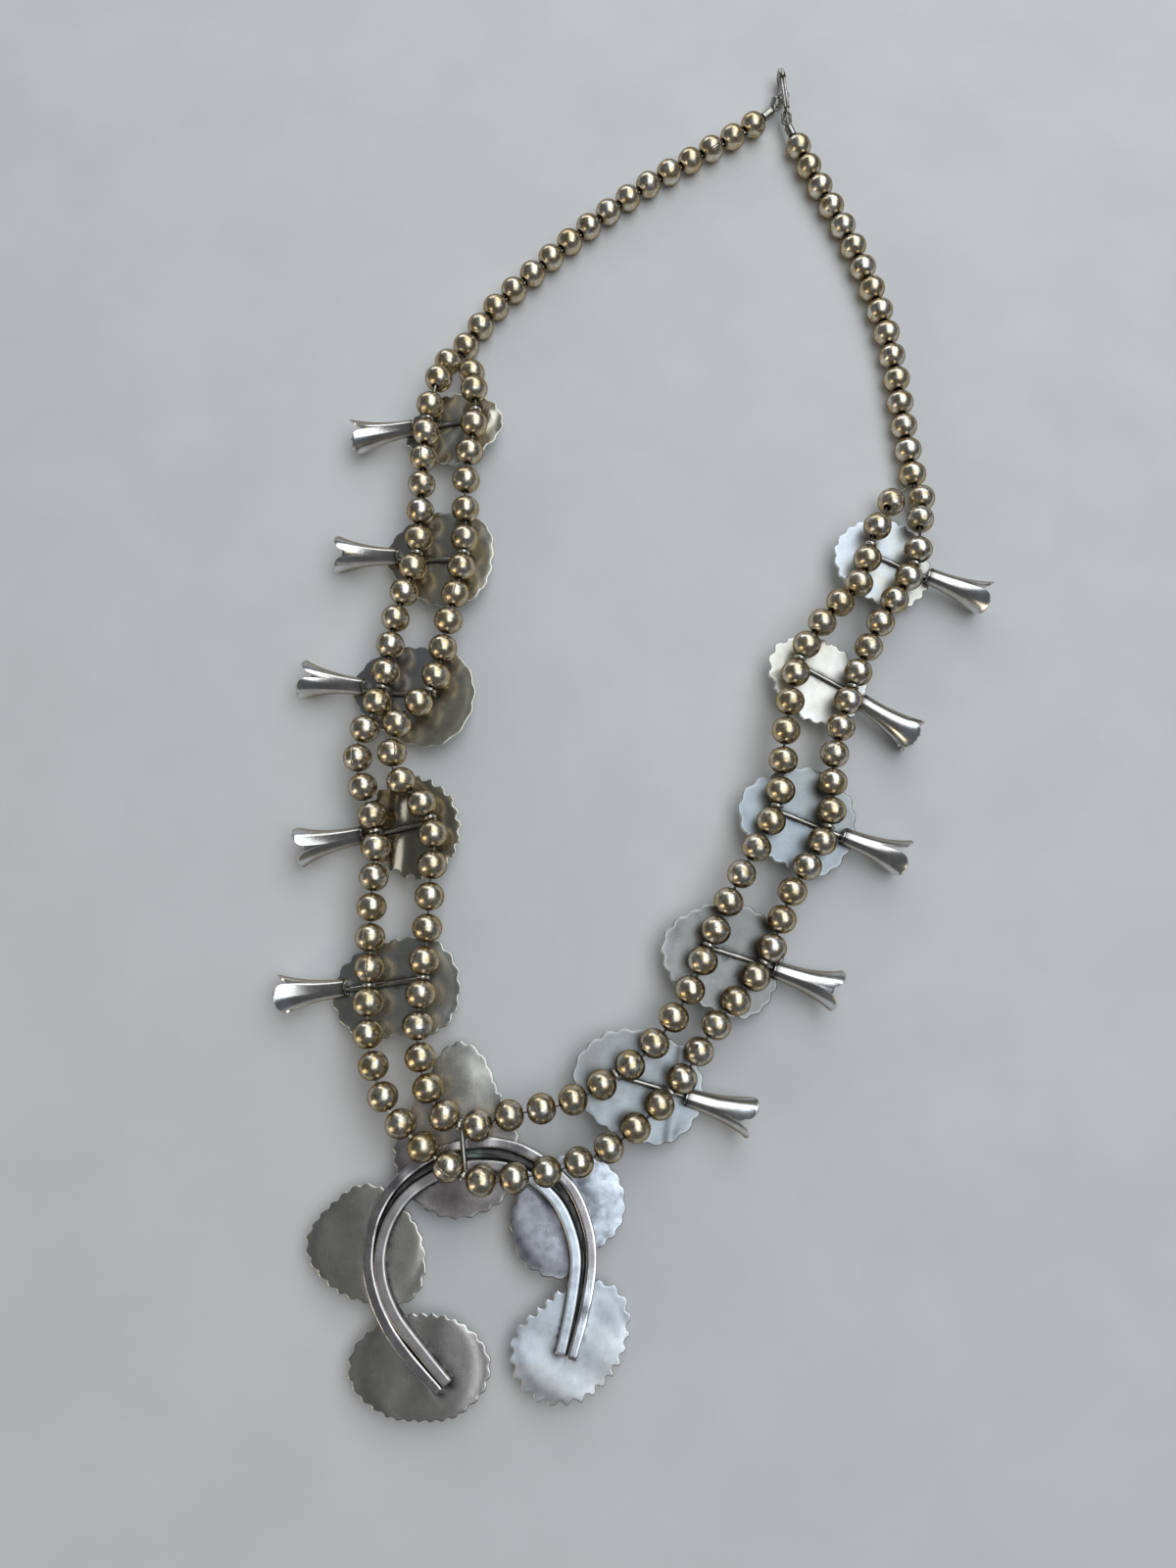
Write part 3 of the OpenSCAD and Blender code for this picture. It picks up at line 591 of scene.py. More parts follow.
# Rows of a plate's edge, each with its inset in millimetres and its height in thicknesses, and
# rings of its back and of its front as shares of the way from its middle to its edge
EDGE_ROWS = ((0.30, -1.0), (0.09, -0.94), (0.0, -0.72), (0.0, -0.34), (0.05, -0.12),
             (0.15, -0.02), (0.36, 0.0))
TOP_SHARES = (0.95, 0.9, 0.83, 0.75, 0.66, 0.57, 0.48, 0.38, 0.28, 0.18, 0.08)
UNDER_SHARES = (0.2, 0.5, 0.8, 0.93)


def far_from(points, lines):
    """Distance in the plane from each point to the nearest of some lines."""
    best = np.full(points.shape[:-1], 1.0)
    for a, b in lines:
        a, b = a[:2], b[:2]
        t = np.clip(((points - a) @ (b - a)) / ((b - a) @ (b - a)), 0, 1)
        best = np.minimum(best, norm(points - a - t[..., None] * (b - a), axis=-1))
    return best


def plate_relief(seat, middle, lines, wave, folds=()):
    """Waves and folds of a thin sheet, flat beside what is soldered to it."""
    waves = [(unit(rng.normal(size=2)) * 2 * math.pi / rng.uniform(9 * MM, 22 * MM),
              rng.uniform(0, 6.28)) for _ in range(5)]
    creases = [(middle + seat.way(*at) * MM, seat.way(-math.sin(turn), math.cos(turn)),
                width * MM, rise * MM) for at, turn, width, rise in folds]

    def height(flat):
        z = sum(np.sin(flat @ k + phase) for k, phase in waves) * wave / 3
        for at, normal, width, rise in creases:
            off = (flat - at) @ normal / width
            z = z + rise * (np.exp(-off ** 2) - 0.4 * np.exp(-(off - 1.8) ** 2))
        return z * smoothstep(far_from(flat, lines), CLEAR_FROM, CLEAR_TO)

    return height


def add_plate(name, look, slot, node, seat, edge, thick, relief, side_way, darkening, tooth):
    """A scalloped sheet: rounded edge, bright partly from wear and partly as a painted highlight,
    back and front that follow the relief.
    """
    edge = refined(edge)
    normal = outward(edge)
    count = len(edge)
    notch = ((edge - smoothed(edge, NOTCH_PASSES)) * normal).sum(axis=1, keepdims=True)
    edge = edge + normal * np.minimum(notch, 0.0) * tooth
    jag = smoothed(rng.uniform(0, JAG + TOOTH_JAG * tooth, count), 2)
    jag += rng.uniform(0, FINE_JAG, count)
    edge = edge - normal * jag[:, None]
    middle = edge.mean(axis=0)
    calm = smoothed(edge, CALM_PASSES)
    last = edge - normal * EDGE_ROWS[-1][0] * MM
    under = [middle + (edge + (calm - edge) * smoothstep(share, 1.0, 0.5) - middle) * share
             for share in UNDER_SHARES]
    over = [middle + (calm + (last - calm) * max(share - 0.8, 0) / 0.2 - middle) * share
            for share in TOP_SHARES]
    rows = np.array(under + [edge - normal * inset * MM for inset, _ in EDGE_ROWS] + over)
    depths = [-1.0] * len(under) + [depth for _, depth in EDGE_ROWS] + [0.0] * len(over)
    rims = [1.0 if -0.9 < depth < -0.1 else 0.2 for _, depth in EDGE_ROWS]
    rims = [0.0] * len(under) + rims + [0.0] * len(over)
    heights = thick * np.array(depths)[:, None]
    radius = norm(edge - middle, axis=1).mean()
    share = norm(rows - middle, axis=-1) / radius
    lift = relief(rows) - DROOP * smoothstep(share, 0.88, 1.02)
    local = np.concatenate([rows, (heights + lift)[..., None]], axis=-1)
    # Darker beside a blossom's bar, and painted shade in the naja's groove
    soot = darkening(rows) * (heights > -thick / 2)
    side = ((rows - middle) / radius) @ seat.way(*side_way)
    plate = Shape()
    plate.rings(seat.there(local), cap=(True, True), soot=soot, side=side,
                rim=np.repeat(rims, count))
    plate.piece(name, look, slot, node, sharp=50)


def add_bezel(name, slot, node, seat, outer, inner, top, bottom):
    """A wall of strip silver round a stone, its lip pressed in and rubbed bright."""
    outer, inner = refined(outer), refined(inner)
    wall = outer - inner
    rows = [(inner, top), (outer, top), (outer, bottom + LIP),
            (outer - 0.2 * wall, bottom + LIP_ROUND), (outer - 0.5 * wall, bottom),
            (inner + 0.2 * wall, bottom + LIP_ROUND), (inner, bottom + LIP)]
    rings = np.array([lifted(flat, z) for flat, z in rows])
    rims = np.repeat([0.0, 0.0, 0.3, 0.8, 1.0, 0.5, 0.1], len(outer))
    # Darker where the wall meets the plate and at its inner lip
    soot_and_shade_rows = np.repeat([0.6, 0.5, 0, 0, 0, 0, 0.3], len(outer))
    bezel = Shape()
    bezel.rings(seat.there(rings), close=True, rim=rims, soot=soot_and_shade_rows, side=0.0)
    bezel.piece(name, bezel_silver, slot, node)


def add_dome(stone_name, seat, girdle):
    """The stone of a bezel: a straight girdle and a smooth dome, in place of its solid."""
    points = seat.here(welded(stone_name)[0])
    top, low = points[:, 2].max(), points[:, 2].min()
    ring = points[points[:, 2] > top - 0.1 * MM, :2]
    off = ring - ring.mean(axis=0)
    outline = refined(ring[np.argsort(np.arctan2(off[:, 1], off[:, 0]))])
    middle = outline.mean(axis=0)
    rows = [(0.97, top), (1.0, top - 0.15 * MM), (1.0, girdle)]
    rows += [(math.cos(a) ** 0.8, girdle + (low - girdle) * math.sin(a))
             for a in np.radians([8, 18, 28, 38, 48, 58, 68, 77, 84])]
    rings = seat.there([lifted(middle + (outline - middle) * share, z) for share, z in rows])
    stone = Shape()
    stone.rings(rings, cap=(True, False))
    count = len(outline)
    stone.add(np.concatenate([rings[-1], seat.there([[*middle, low]])]),
              [[k, (k + 1) % count, count] for k in range(count)])
    stone.piece(f"{stone_name}_dome", turquoise, "turquoise", stone_name)


# Trumpets

TRUMPET_L = 17 * MM
TRUMPET_UP = 1.45 * MM
PETAL_L = 8.5 * MM
STEM_R = 1.75 * MM
MOUTH_R = 4.4 * MM
PETAL_WALL = 0.45 * MM
PETAL_COLUMNS = 13
PETALS = 3
FLARE = 2.1
SLIT, SLIT_END = 0.9 * MM, 0.8 * MM
CURL, CURL_DOWN = 0.4 * MM, 0.75 * MM
SWAY = 0.05
BOW = 0.06
COLLAR_L = 0.5 * MM
TIP_L = 2.4 * MM
TIP_GAP = 0.15 * MM
STEM_SHADE = 0.8 * MM
TRUMPET_WELD = 0.002 * MM


def add_trumpet(shape, seat, stem_at, turn):
    """A stem that opens into petals, each bowed across and bent a little at its tip."""
    along = np.concatenate([np.linspace(0, 0.5, 9)[:-1], np.linspace(0.5, 0.93, 14),
                            0.93 + 0.07 * np.sin(np.linspace(0, math.pi / 2, 8)[1:])])
    across = np.concatenate([[-1, -0.93], np.linspace(-0.8, 0.8, PETAL_COLUMNS - 4), [0.93, 1]])
    flat = Shape()
    x = along * (TRUMPET_L - COLLAR_L - TIP_GAP)
    radius = STEM_R + (MOUTH_R - STEM_R) * along ** FLARE
    open_share = np.clip((x + COLLAR_L + PETAL_L - TRUMPET_L) / PETAL_L, 0, 1)
    slit = SLIT * open_share ** 1.3 + SLIT_END * open_share ** 5
    tip = np.clip((x + COLLAR_L + TIP_L - TRUMPET_L) / TIP_L, 0, 1)
    half = (radius * math.pi / PETALS - slit) * np.sqrt(np.maximum(1 - tip ** 2.6, 0.0025))
    bow = 1 + BOW * open_share[:, None] * across[None] ** 2
    rim = (np.abs(across)[None] > 0.99) * (open_share[:, None] > 0.02) * 1.0
    rim = np.maximum(rim, (along > 0.985)[:, None] * 1.0)
    # Painted shade darkens the stem towards the collar
    soot = np.repeat(0.75 * np.exp(-x / STEM_SHADE), len(across))
    # Lighter towards the petals, partly a painted highlight
    side = np.repeat(open_share - 0.5, len(across))
    faces = grid_faces(len(along), len(across), close_columns=False)
    for petal in range(PETALS):
        middle = turn + petal * 2 * math.pi / PETALS
        curl = rng.uniform(0.0, CURL) - CURL_DOWN * max(0.0, math.cos(middle))
        sway = rng.uniform(-SWAY, SWAY)
        angle = middle + (half / radius)[:, None] * across[None] + (sway * open_share)[:, None]
        wide = (radius + curl * open_share ** 2)[:, None] * bow
        points = np.stack([np.broadcast_to(x[:, None], angle.shape), np.sin(angle) * wide,
                           -np.cos(angle) * wide], axis=-1)
        points = points + [stem_at + COLLAR_L, 0.0, TRUMPET_UP]
        flat.add(points, faces, rim=rim, soot=soot, side=side)
    flat_piece = placed("trumpet", flat.mesh("trumpet", TRUMPET_WELD))
    wall = flat_piece.modifiers.new("wall", "SOLIDIFY")
    wall.thickness = PETAL_WALL
    wall.offset = -1.0
    wall.use_even_offset = True
    graph = bpy.context.evaluated_depsgraph_get()
    solid = bpy.data.meshes.new_from_object(flat_piece.evaluated_get(graph))
    points = np.empty(len(solid.vertices) * 3)
    solid.vertices.foreach_get("co", points)
    values = {}
    for key in ("rim", "soot", "side"):
        values[key] = np.empty(len(solid.vertices), np.float32)
        solid.attributes[key].data.foreach_get("value", values[key])
    shape.add(seat.there(points.reshape(-1, 3)),
              [list(face.vertices) for face in solid.polygons], **values)
    bpy.data.objects.remove(flat_piece)


# Blossoms

EYELET_D = 3.1 * MM
EYELET_WIRE = 0.9 * MM
EYELET_R = (EYELET_D - EYELET_WIRE) / 2
EYELET_OVER = 2.6 * MM
BAR_R = 0.65 * MM
BAR_UP = 0.35 * MM
BAR_STEPS, BAR_WAVE, BAR_SWELL = 26, 0.05 * MM, 0.05
BAR_DARK = (0.7 * MM, 0.4 * MM)
BEZEL_REACH = 6 * MM
COLLAR_SIDES = 28


def eyelets_among(points):
    """The two upright rings among some points: middle and direction of each."""
    flat = points[:, :2] - points[:, :2].mean(axis=0)
    along = flat @ eigh(flat.T @ flat)[1][:, 1]
    cut = (along.min() + along.max()) / 2
    rings = []
    for mine in (points[along < cut], points[along >= cut]):
        z = mine[:, 2].max() - EYELET_D / 2
        upper = mine[mine[:, 2] > z]
        middle = upper[:, :2].mean(axis=0)
        off = upper[:, :2] - middle
        axis = eigh(off.T @ off)[1][:, 0]
        rings.append((np.array([*middle, z]), np.array([*axis, 0.0])))
    return rings


def read_blossom(name):
    """Reads a blossom's plate, bezel, eyelets and trumpet from its solid in the frame."""
    points, triangles = welded(name)
    seat, level, thick, loops = plate_seat(points, triangles)
    height = points @ seat.up - level
    ahead = points @ seat.ahead
    clear = ahead < ahead.max() - TRUMPET_L - 0.3 * MM
    rings = eyelets_among(points[(height > EYELET_OVER) & clear])
    between = (rings[0][0] + rings[1][0]) / 2
    seat.origin = between - seat.up * (between @ seat.up - level)
    local = seat.here(points)
    loops = by_size(local[loop, :2] for loop in loops)[:3]
    bottom = local[np.abs(local[:, 0]) < BEZEL_REACH, 2].min()
    reach = local[:, 0].max()
    middle, _, area = facets(local, triangles)
    petals = middle[:, 0] > reach - 0.25 * TRUMPET_L
    spin = np.arctan2(middle[petals, 1], TRUMPET_UP - middle[petals, 2])
    turn = np.angle((area[petals] * np.exp(3j * spin)).sum()) / 3
    return seat, loops, thick, bottom, reach, turn, rings


def add_bar(shape, seat, start, end, radius, rise):
    """A wire soldered flat to what it lies on, a little uneven."""
    t = np.linspace(0, 1, BAR_STEPS)
    path = start + (end - start) * t[:, None]
    path[:, 2] = rise + BAR_WAVE * np.sin(t * 17 + rng.uniform(0, 6))
    thick = radius * (1 + BAR_SWELL * np.sin(t * 23 + rng.uniform(0, 6)))
    tube(shape, seat.there(path), thick, soot=0.3, rim=0.3, side=0.0)


def add_eyelet(shape, seat, centre, axis, foot_at):
    """An upright ring on its post, with a small lump of solder at the foot."""
    torus(shape, centre, axis, EYELET_R, EYELET_WIRE, rim=0.6, soot=0.05, side=0.5)
    foot = seat.there([*seat.here(centre)[:2], foot_at])
    top = centre - seat.up * (EYELET_R - 0.1 * MM)
    path = foot + (top - foot) * np.array([0, 0.12, 0.3, 0.6, 1])[:, None]
    tube(shape, path, np.array([0.95, 0.75, 0.45, 0.4, 0.4]) * MM, soot=0.3, rim=0.3, side=0.2)


def add_collar(shape, seat, stem_at):
    """The soldered ring where a trumpet's stem starts, closed by the bar's end."""
    turn = np.arange(COLLAR_SIDES) * 2 * math.pi / COLLAR_SIDES
    rows = ((0.0, 1.2), (0.0, 1.78), (0.12, 1.9), (0.6, 1.92), (0.85, 1.82), (0.95, 1.6))
    rings = [np.stack([np.full(COLLAR_SIDES, stem_at + x * MM), np.sin(turn) * r * MM,
                       TRUMPET_UP - np.cos(turn) * r * MM], axis=1) for x, r in rows]
    # Painted shade at both ends of the ring: in the open end of the tube and where the stem starts
    shape.rings(seat.there(rings), cap=(True, True), rim=0.15, side=0.2,
                soot=np.repeat([0.95, 0.6, 0.15, 0.1, 0.6, 0.95], COLLAR_SIDES))


# One row per blossom plate: two tones, partly tarnish and partly painted light, some plates lighter
# and bluer
# # as a painted reflection of the sky and others darker as a painted dark reflection, the way from
# the first
# # to the second as the photo shows it, which paints one side of a plate lighter, roughness, height
# of its
# # waves in millimetres, and its folds, each with its place from the plate's middle, its turn, its
# width and
# # its height, also in millimetres
# The bluish and cream tones below paint reflection and light on the brightest plates
GREY, OLIVE, BROWN = (0.44, 0.42, 0.36), (0.52, 0.48, 0.37), (0.30, 0.265, 0.20)
PAINTED_SKY, CREAM = (0.52, 0.555, 0.58), (0.56, 0.535, 0.46)
PLATES = {
    "left_1": (GREY, (0.55, 0.50, 0.40), (0.9, 0.2), 0.24, 0.16,
               [((7, 2), 1.3, 2.0, 0.35), ((1, -7), 0.9, 1.6, 0.25)]),
    "left_2": (GREY, OLIVE, (0.4, -0.6), 0.24, 0.05, [((7, -4), 1.9, 2.5, 0.12)]),
    "left_3": ((0.41, 0.41, 0.405), OLIVE, (0.5, -0.4), 0.25, 0.05, []),
    "left_4": (BROWN, (0.45, 0.405, 0.30), (0.3, 0.1), 0.22, 0.08,
               [((-3.5, 0), 1.5, 1.7, 0.5)]),
    "left_5": ((0.47, 0.465, 0.41), (0.52, 0.50, 0.44), (0.5, -0.5), 0.27, 0.05, []),
    "right_1": (PAINTED_SKY, CREAM, (0.5, -0.3), 0.40, 0.14, []),
    "right_2": (CREAM, (0.62, 0.61, 0.58), (0.3, -0.3), 0.38, 0.2,
                [((-4, 7), 0.5, 1.4, 0.2)]),
    "right_3": ((0.28, 0.31, 0.33), (0.26, 0.27, 0.265), (0.5, 0.5), 0.38, 0.12, []),
    "right_4": ((0.17, 0.17, 0.16), (0.22, 0.22, 0.21), (-0.5, -0.5), 0.34, 0.1, []),
    "right_5": ((0.33, 0.355, 0.37), (0.24, 0.24, 0.235), (-0.2, 0.5), 0.38, 0.1,
                [((10, 5), 1.4, 1.3, 0.3)]),
}
# How much deeper the scallops of a plate are cut, by its blossom or its number on the naja
TEETH = {"left_4": 1.0, "right_2": 1.0, "left_1": 0.6, 5: 0.3}
PLAIN_TOOTH = 0.1
# The trumpets' lighter, bluer second tone, which the petals take, is partly a painted highlight
trumpet_silver = sheet_look("trumpet_silver", (0.60, 0.57, 0.52), (0.80, 0.81, 0.82), 0.19,
                            speck=0.15, blotch=0.3, limb=(0.42, 0.32, 0.21))
bezel_silver = sheet_look("bezel_silver", (0.46, 0.44, 0.40), (0.62, 0.60, 0.56), 0.25)
shank_silver = sheet_look("shank_silver", (0.34, 0.31, 0.27), (0.60, 0.57, 0.50), 0.24)
turquoise = stone_look("turquoise")

for key, (first, second, side_way, rough, wave, folds) in PLATES.items():
    name = f"blossom_{key}"
    seat, loops, thick, bottom, reach, turn, rings = read_blossom(name)
    stem_at = reach - TRUMPET_L
    feet = sorted((seat.here(ring[0]) * np.array([1, 1, 0]) for ring in rings),
                  key=lambda foot: foot[0])
    slope = (feet[1] - feet[0]) / (feet[1][0] - feet[0][0])
    bar = (feet[0] - unit(slope) * BAR_R * 0.6, feet[0] + slope * (stem_at + 0.8 * MM - feet[0][0]))
    lines = [bar, (bar[1], np.array([reach, 0.0]))]

    # Darker beside the bar
    def darkening(flat, bar=bar):
        return 0.9 * fading(far_from(flat, [bar]), *BAR_DARK)

    relief = plate_relief(seat, loops[0].mean(axis=0), lines, wave * MM, folds)
    look = sheet_look(f"{name}_silver", first, second, rough, blotch=0.2)
    add_plate(f"{name}_plate", look, "blossom_silver", name, seat, loops[0], thick, relief,
              side_way, darkening, TEETH.get(key, PLAIN_TOOTH))
    add_bezel(f"{name}_bezel", "blossom_silver", name, seat, *loops[1:], -thick / 2, bottom)
    shank = Shape()
    add_bar(shank, seat, *bar, BAR_R, BAR_UP)
    for ring in rings:
        add_eyelet(shank, seat, *ring, 0.0)
    add_collar(shank, seat, stem_at)
    shank.piece(f"{name}_shank", shank_silver, "blossom_silver", name)
    trumpet = Shape()
    add_trumpet(trumpet, seat, stem_at, turn)
    trumpet.piece(f"{name}_trumpet", trumpet_silver, "blossom_silver", name)
    add_dome(f"stone_{key}", seat, bottom)


# Naja

SIDE_POINTS, BAND_STEPS = 90, 170
CORNER = math.cos(math.radians(50))
BAND_LOW, BAND_HIGH = 1.2 * MM, 2.2 * MM
RING_OVER = 2.4 * MM
PLATE_NEAR, PLATE_R = 4 * MM, 17 * MM
# How far painted shade reaches from the inner band and from the outer band's foot, and how fast it
# fades
INNER_SHADE, OUTER_SHADE = (1.3 * MM, 0.38 * MM), (1.15 * MM, 0.14 * MM)
WOBBLE, HOLLOW = 0.16 * MM, 0.03 * MM
GROOVE_FILL, GROOVE_LUMP = 0.75 * MM, 0.22 * MM
SIDE_FILL, SIDE_LUMP = 0.3 * MM, 0.12 * MM
GREEN_R = 1.9 * MM
FILLET_SHARES = np.linspace(0, 1, 9)
# The steps of the inner band that have solder along its inner side
SOLDERED = slice(22, 148)
# Half of a band's section: place across, share of its height, darkening at its foot as soot and
# painted shade, and rim, partly rubbed bright and partly a painted highlight
BAND_ROWS = [(-1.0, 0.0, 1.0, 0.0), (-1.0, 0.45, 0.5, 0.1), (-0.985, 0.82, 0.1, 0.7),
             (-0.93, 0.94, 0, 1.0), (-0.82, 1.0, 0, 0.75), (-0.45, 1.0, 0, 0.0)]
# One row per plate, as for the blossoms, without folds, and how blotchy each is; the bluish light
# tones of plates 4 and 5 are a painted reflection of the sky
NAJA = {
    1: ((0.50, 0.48, 0.41), (0.56, 0.52, 0.45), (0.6, 0.0), 0.27, 0.05, 0.14),
    2: ((0.49, 0.47, 0.40), (0.50, 0.46, 0.43), (0.8, 0.25), 0.26, 0.07, 0.14),
    3: ((0.41, 0.36, 0.345), (0.47, 0.45, 0.40), (0.0, 0.8), 0.26, 0.12, 0.25),
    4: ((0.36, 0.36, 0.39), (0.56, 0.60, 0.65), (0.8, 0.2), 0.3, 0.26, 0.65),
    5: ((0.70, 0.74, 0.78), (0.80, 0.80, 0.80), (0.2, -0.6), 0.42, 0.2, 0.3),
}


def long_sides(loop):
    """The two long sides of half a band, each from its tip up."""
    along, before = unit(np.roll(loop, -1, 0) - loop), unit(loop - np.roll(loop, 1, 0))
    corners = np.flatnonzero((along * before).sum(1) < CORNER)
    runs = [loop[a:b + 1] if b > a else np.concatenate([loop[a:], loop[:b + 1]])
            for a, b in zip(corners, np.roll(corners, -1))]
    runs.sort(key=lambda run: -norm(np.diff(run, axis=0), axis=1).sum())
    return [run if run[0, 1] < run[-1, 1] else run[::-1] for run in runs[:2]]


def evenly(line, count):
    """A line cut into equal steps, smoothed between its points."""
    step = np.concatenate([[0], np.cumsum(norm(np.diff(line, axis=0), axis=1))])
    at = np.linspace(0, step[-1], count)
    even = np.stack([np.interp(at, step, line[:, k]) for k in range(line.shape[1])], axis=1)
    for _ in range(3):
        even[1:-1] = (even[:-2] + 2 * even[1:-1] + even[2:]) / 4
    return even


def add_band(shape, seat, middle, half, foot, top, side, groove_hand):
    """A flat bar with softened edges along a middle line, square at its tips, darker at its foot as
    soot and painted shade, and with painted shade up the side that faces the groove: 1 is its left
    side and -1 its right."""
    along = unit(np.gradient(middle, axis=0))
    left = np.stack([-along[:, 1], along[:, 0]], axis=1)
    rows = BAND_ROWS + [(0.0, 0.985, 0, 0.0)] + [(-row[0], *row[1:]) for row in BAND_ROWS[::-1]]
    count = len(middle)
    wobble = smoothed(rng.normal(0, WOBBLE, count), 6)
    rings, rims, soot_and_shade_rows = [], [], []
    for across, share, soot, rim in rows:
        place = middle + left * (half * across)[:, None]
        z = foot + (top - foot) * share + wobble * (share > 0.5) - HOLLOW * (share > 0.99)
        rings.append(lifted(place, z))
        in_groove = across * groove_hand > 0.9 and share < 0.9
        soot_and_shade_rows.append(max(soot, 0.55 if in_groove else 0))
        rims.append(rim * (0.55 if across * groove_hand < 0 else 1.0))
    rings = np.stack(rings, axis=1)
    ends = []
    for k, way in ((0, -1), (-1, 1)):
        centre = np.array([*middle[k], (foot + top) / 2])
        close = centre + (rings[k] - centre) * 0.9
        close[:, :2] += along[k] * way * 0.12 * MM
        ends.append(close[None])
    rings = np.concatenate([ends[0], rings, ends[1]])
    rim = np.tile(rims, (count + 2, 1))
    rim[[0, -1]] *= 0.8
    side = np.repeat(np.concatenate([side[:1], side, side[-1:]]), len(rows))
    shape.rings(seat.there(rings), cap=(True, True), side=side, rim=rim,
                soot=np.tile(soot_and_shade_rows, count + 2))


def add_fillet(shape, seat, left_edge, right_edge, rise, lump, **values):
    """A lumpy ribbon of solder between two edges."""
    count = len(left_edge)
    top = []
    for share in FILLET_SHARES:
        high = math.sin(share * math.pi) ** 0.5
        noise = smoothed(rng.normal(0, 1, count), 4) * lump
        place = left_edge + (right_edge - left_edge) * share
        top.append(lifted(place, (rise + noise) * high))
    base = [lifted(edge, -0.3 * MM) for edge in (right_edge, left_edge)]
    shape.rings(seat.there(np.stack(top + base, axis=1)), cap=(True, True), **values)


points, triangles = welded("naja")
seat, level, thick, loops = plate_seat(points, triangles)
seat.origin = np.array([0.0, 0.0, level])
local = seat.here(points)
loops = by_size(local[loop, :2] for loop in loops)
middles, normals, _ = facets(local, triangles)
high = (normals[:, 2] > 0.999) & (middles[:, 2] > BAND_LOW) & (middles[:, 2] < BAND_HIGH)
band_top = np.median(middles[high, 2])
halves = by_size(local[loop, :2] for loop in border_loops(triangles[high]))[:4]
rings = eyelets_among(points[local[:, 2] > band_top + RING_OVER])
rings.sort(key=lambda ring: ring[0][1])
crown = seat.here(rings[0][0])[0]


def from_crown(line):
    """How far sideways from the crown the middle of a line lies."""
    return abs(line[SIDE_POINTS // 2, 0] - crown)


bands = []
for hand in (-1, 1):
    mine = [sorted((evenly(side, SIDE_POINTS) for side in long_sides(loop)),
                   key=from_crown, reverse=True)
            for loop in halves if (loop[:, 0].mean() - crown) * hand > 0]
    bands.append(sorted(mine, key=lambda sides: from_crown(sides[0]), reverse=True))
edges = [[evenly(np.concatenate([one, other[::-1]]), BAND_STEPS)
          for one, other in zip(left, right)] for left, right in zip(*bands)]
lines = [(a + b) / 2 for a, b in edges]
half = [norm(a - b, axis=1) / 2 for a, b in edges]
share = np.linspace(0, 1, BAND_STEPS)


def naja_painted_shade(flat):
    """Painted shade in the groove, inside the inner band and, less of it, outside the outer band.
    """
    inner = fading(far_from(flat, list(zip(lines[1][:-1:4], lines[1][4::4]))), *INNER_SHADE)
    outer_line = lines[0][::4]
    near = norm(flat[..., None, :] - outer_line, axis=-1).argmin(axis=-1)
    off = flat - outer_line[near]
    outside = (off * (outer_line[near] - lines[1][::4].mean(axis=0))).sum(-1) > 0
    outer = 0.7 * fading(norm(off, axis=-1), *OUTER_SHADE)
    return np.clip(np.where(outside, outer, inner), 0, 1)


naja_lines = [(line[k], line[k + 8]) for line in lines for k in range(0, BAND_STEPS - 8, 8)]
for k, (first, second, side_way, rough, wave, blotch) in NAJA.items():
    stone_name = f"naja_stone_{k}"
    at = seat.here(welded(stone_name)[0])[:, :2].mean(axis=0)
    mine = [loop for loop in loops if norm(loop.mean(axis=0) - at) < PLATE_NEAR]
    bottom = local[norm(local[:, :2] - at, axis=1) < PLATE_R, 2].min()
    relief = plate_relief(seat, at, naja_lines, wave * MM)
    look = sheet_look(f"naja_silver_{k}", first, second, rough, blotch=blotch, speck=0.22)
    add_plate(f"naja_plate_{k}", look, "naja_silver", "naja", seat, mine[0], thick, relief,
              side_way, naja_painted_shade, TEETH.get(k, 0.0))
    add_bezel(f"naja_bezel_{k}", "naja_silver", "naja", seat, *mine[1:3], -thick / 2, bottom)
    add_dome(stone_name, seat, bottom)

# Each band's second tone, light and bluish, is a painted highlight along one stretch of it
for which, name, second, rough, side in (
        (0, "outer", (0.74, 0.76, 0.78), 0.24, smoothstep(share, 0.84, 0.97)),
        (1, "inner", (0.84, 0.91, 0.98), 0.4, smoothstep(share, 0.56, 0.66))):
    band = Shape()
    add_band(band, seat, lines[which], half[which], -0.1 * MM, band_top, 1.6 * side - 0.4,
             1 - 2 * which)
    look = sheet_look(f"band_silver_{name}", (0.46, 0.42, 0.41), second, rough)
    band.piece(f"naja_band_{name}", look, "naja_silver", "naja", sharp=60)

feet = [seat.here(ring[0]) for ring in rings]
green_at = (feet[0] + feet[1])[:2] / 2 + seat.way(2.6, 0.3) * MM
off = norm((lines[0] + lines[1]) / 2 - green_at, axis=1)
green = np.repeat(np.exp(-(off / GREEN_R) ** 2), len(FILLET_SHARES) + 2)
solder = Shape()
facing = [min(pair, key=lambda edge: norm(edge - other, axis=1).sum())
          for pair, other in ((edges[0], lines[1]), (edges[1], lines[0]))]
# The groove's solder is darkened as painted shade, less where its pale green patina shows
add_fillet(solder, seat, *facing, GROOVE_FILL, GROOVE_LUMP,
           soot=0.55 - 0.5 * green, rim=0.0, side=2.0 * green - 0.4)
inside = max(edges[1], key=lambda edge: norm(edge - lines[0], axis=1).sum())
toward = unit(inside - lines[1])
lumps = smoothed(np.clip(rng.normal(0.25, 0.22, BAND_STEPS), 0.05, 0.8), 1)[:, None] * MM
add_fillet(solder, seat, (inside - toward * 0.15 * MM)[SOLDERED],
           (inside + toward * lumps)[SOLDERED], SIDE_FILL, SIDE_LUMP, soot=0.6, rim=0.0,
           side=-0.4)
look = sheet_look("solder_silver", (0.33, 0.32, 0.30), (0.52, 0.66, 0.60), 0.62, speck=0.6)
solder.piece("naja_solder", look, "naja_silver", "naja")

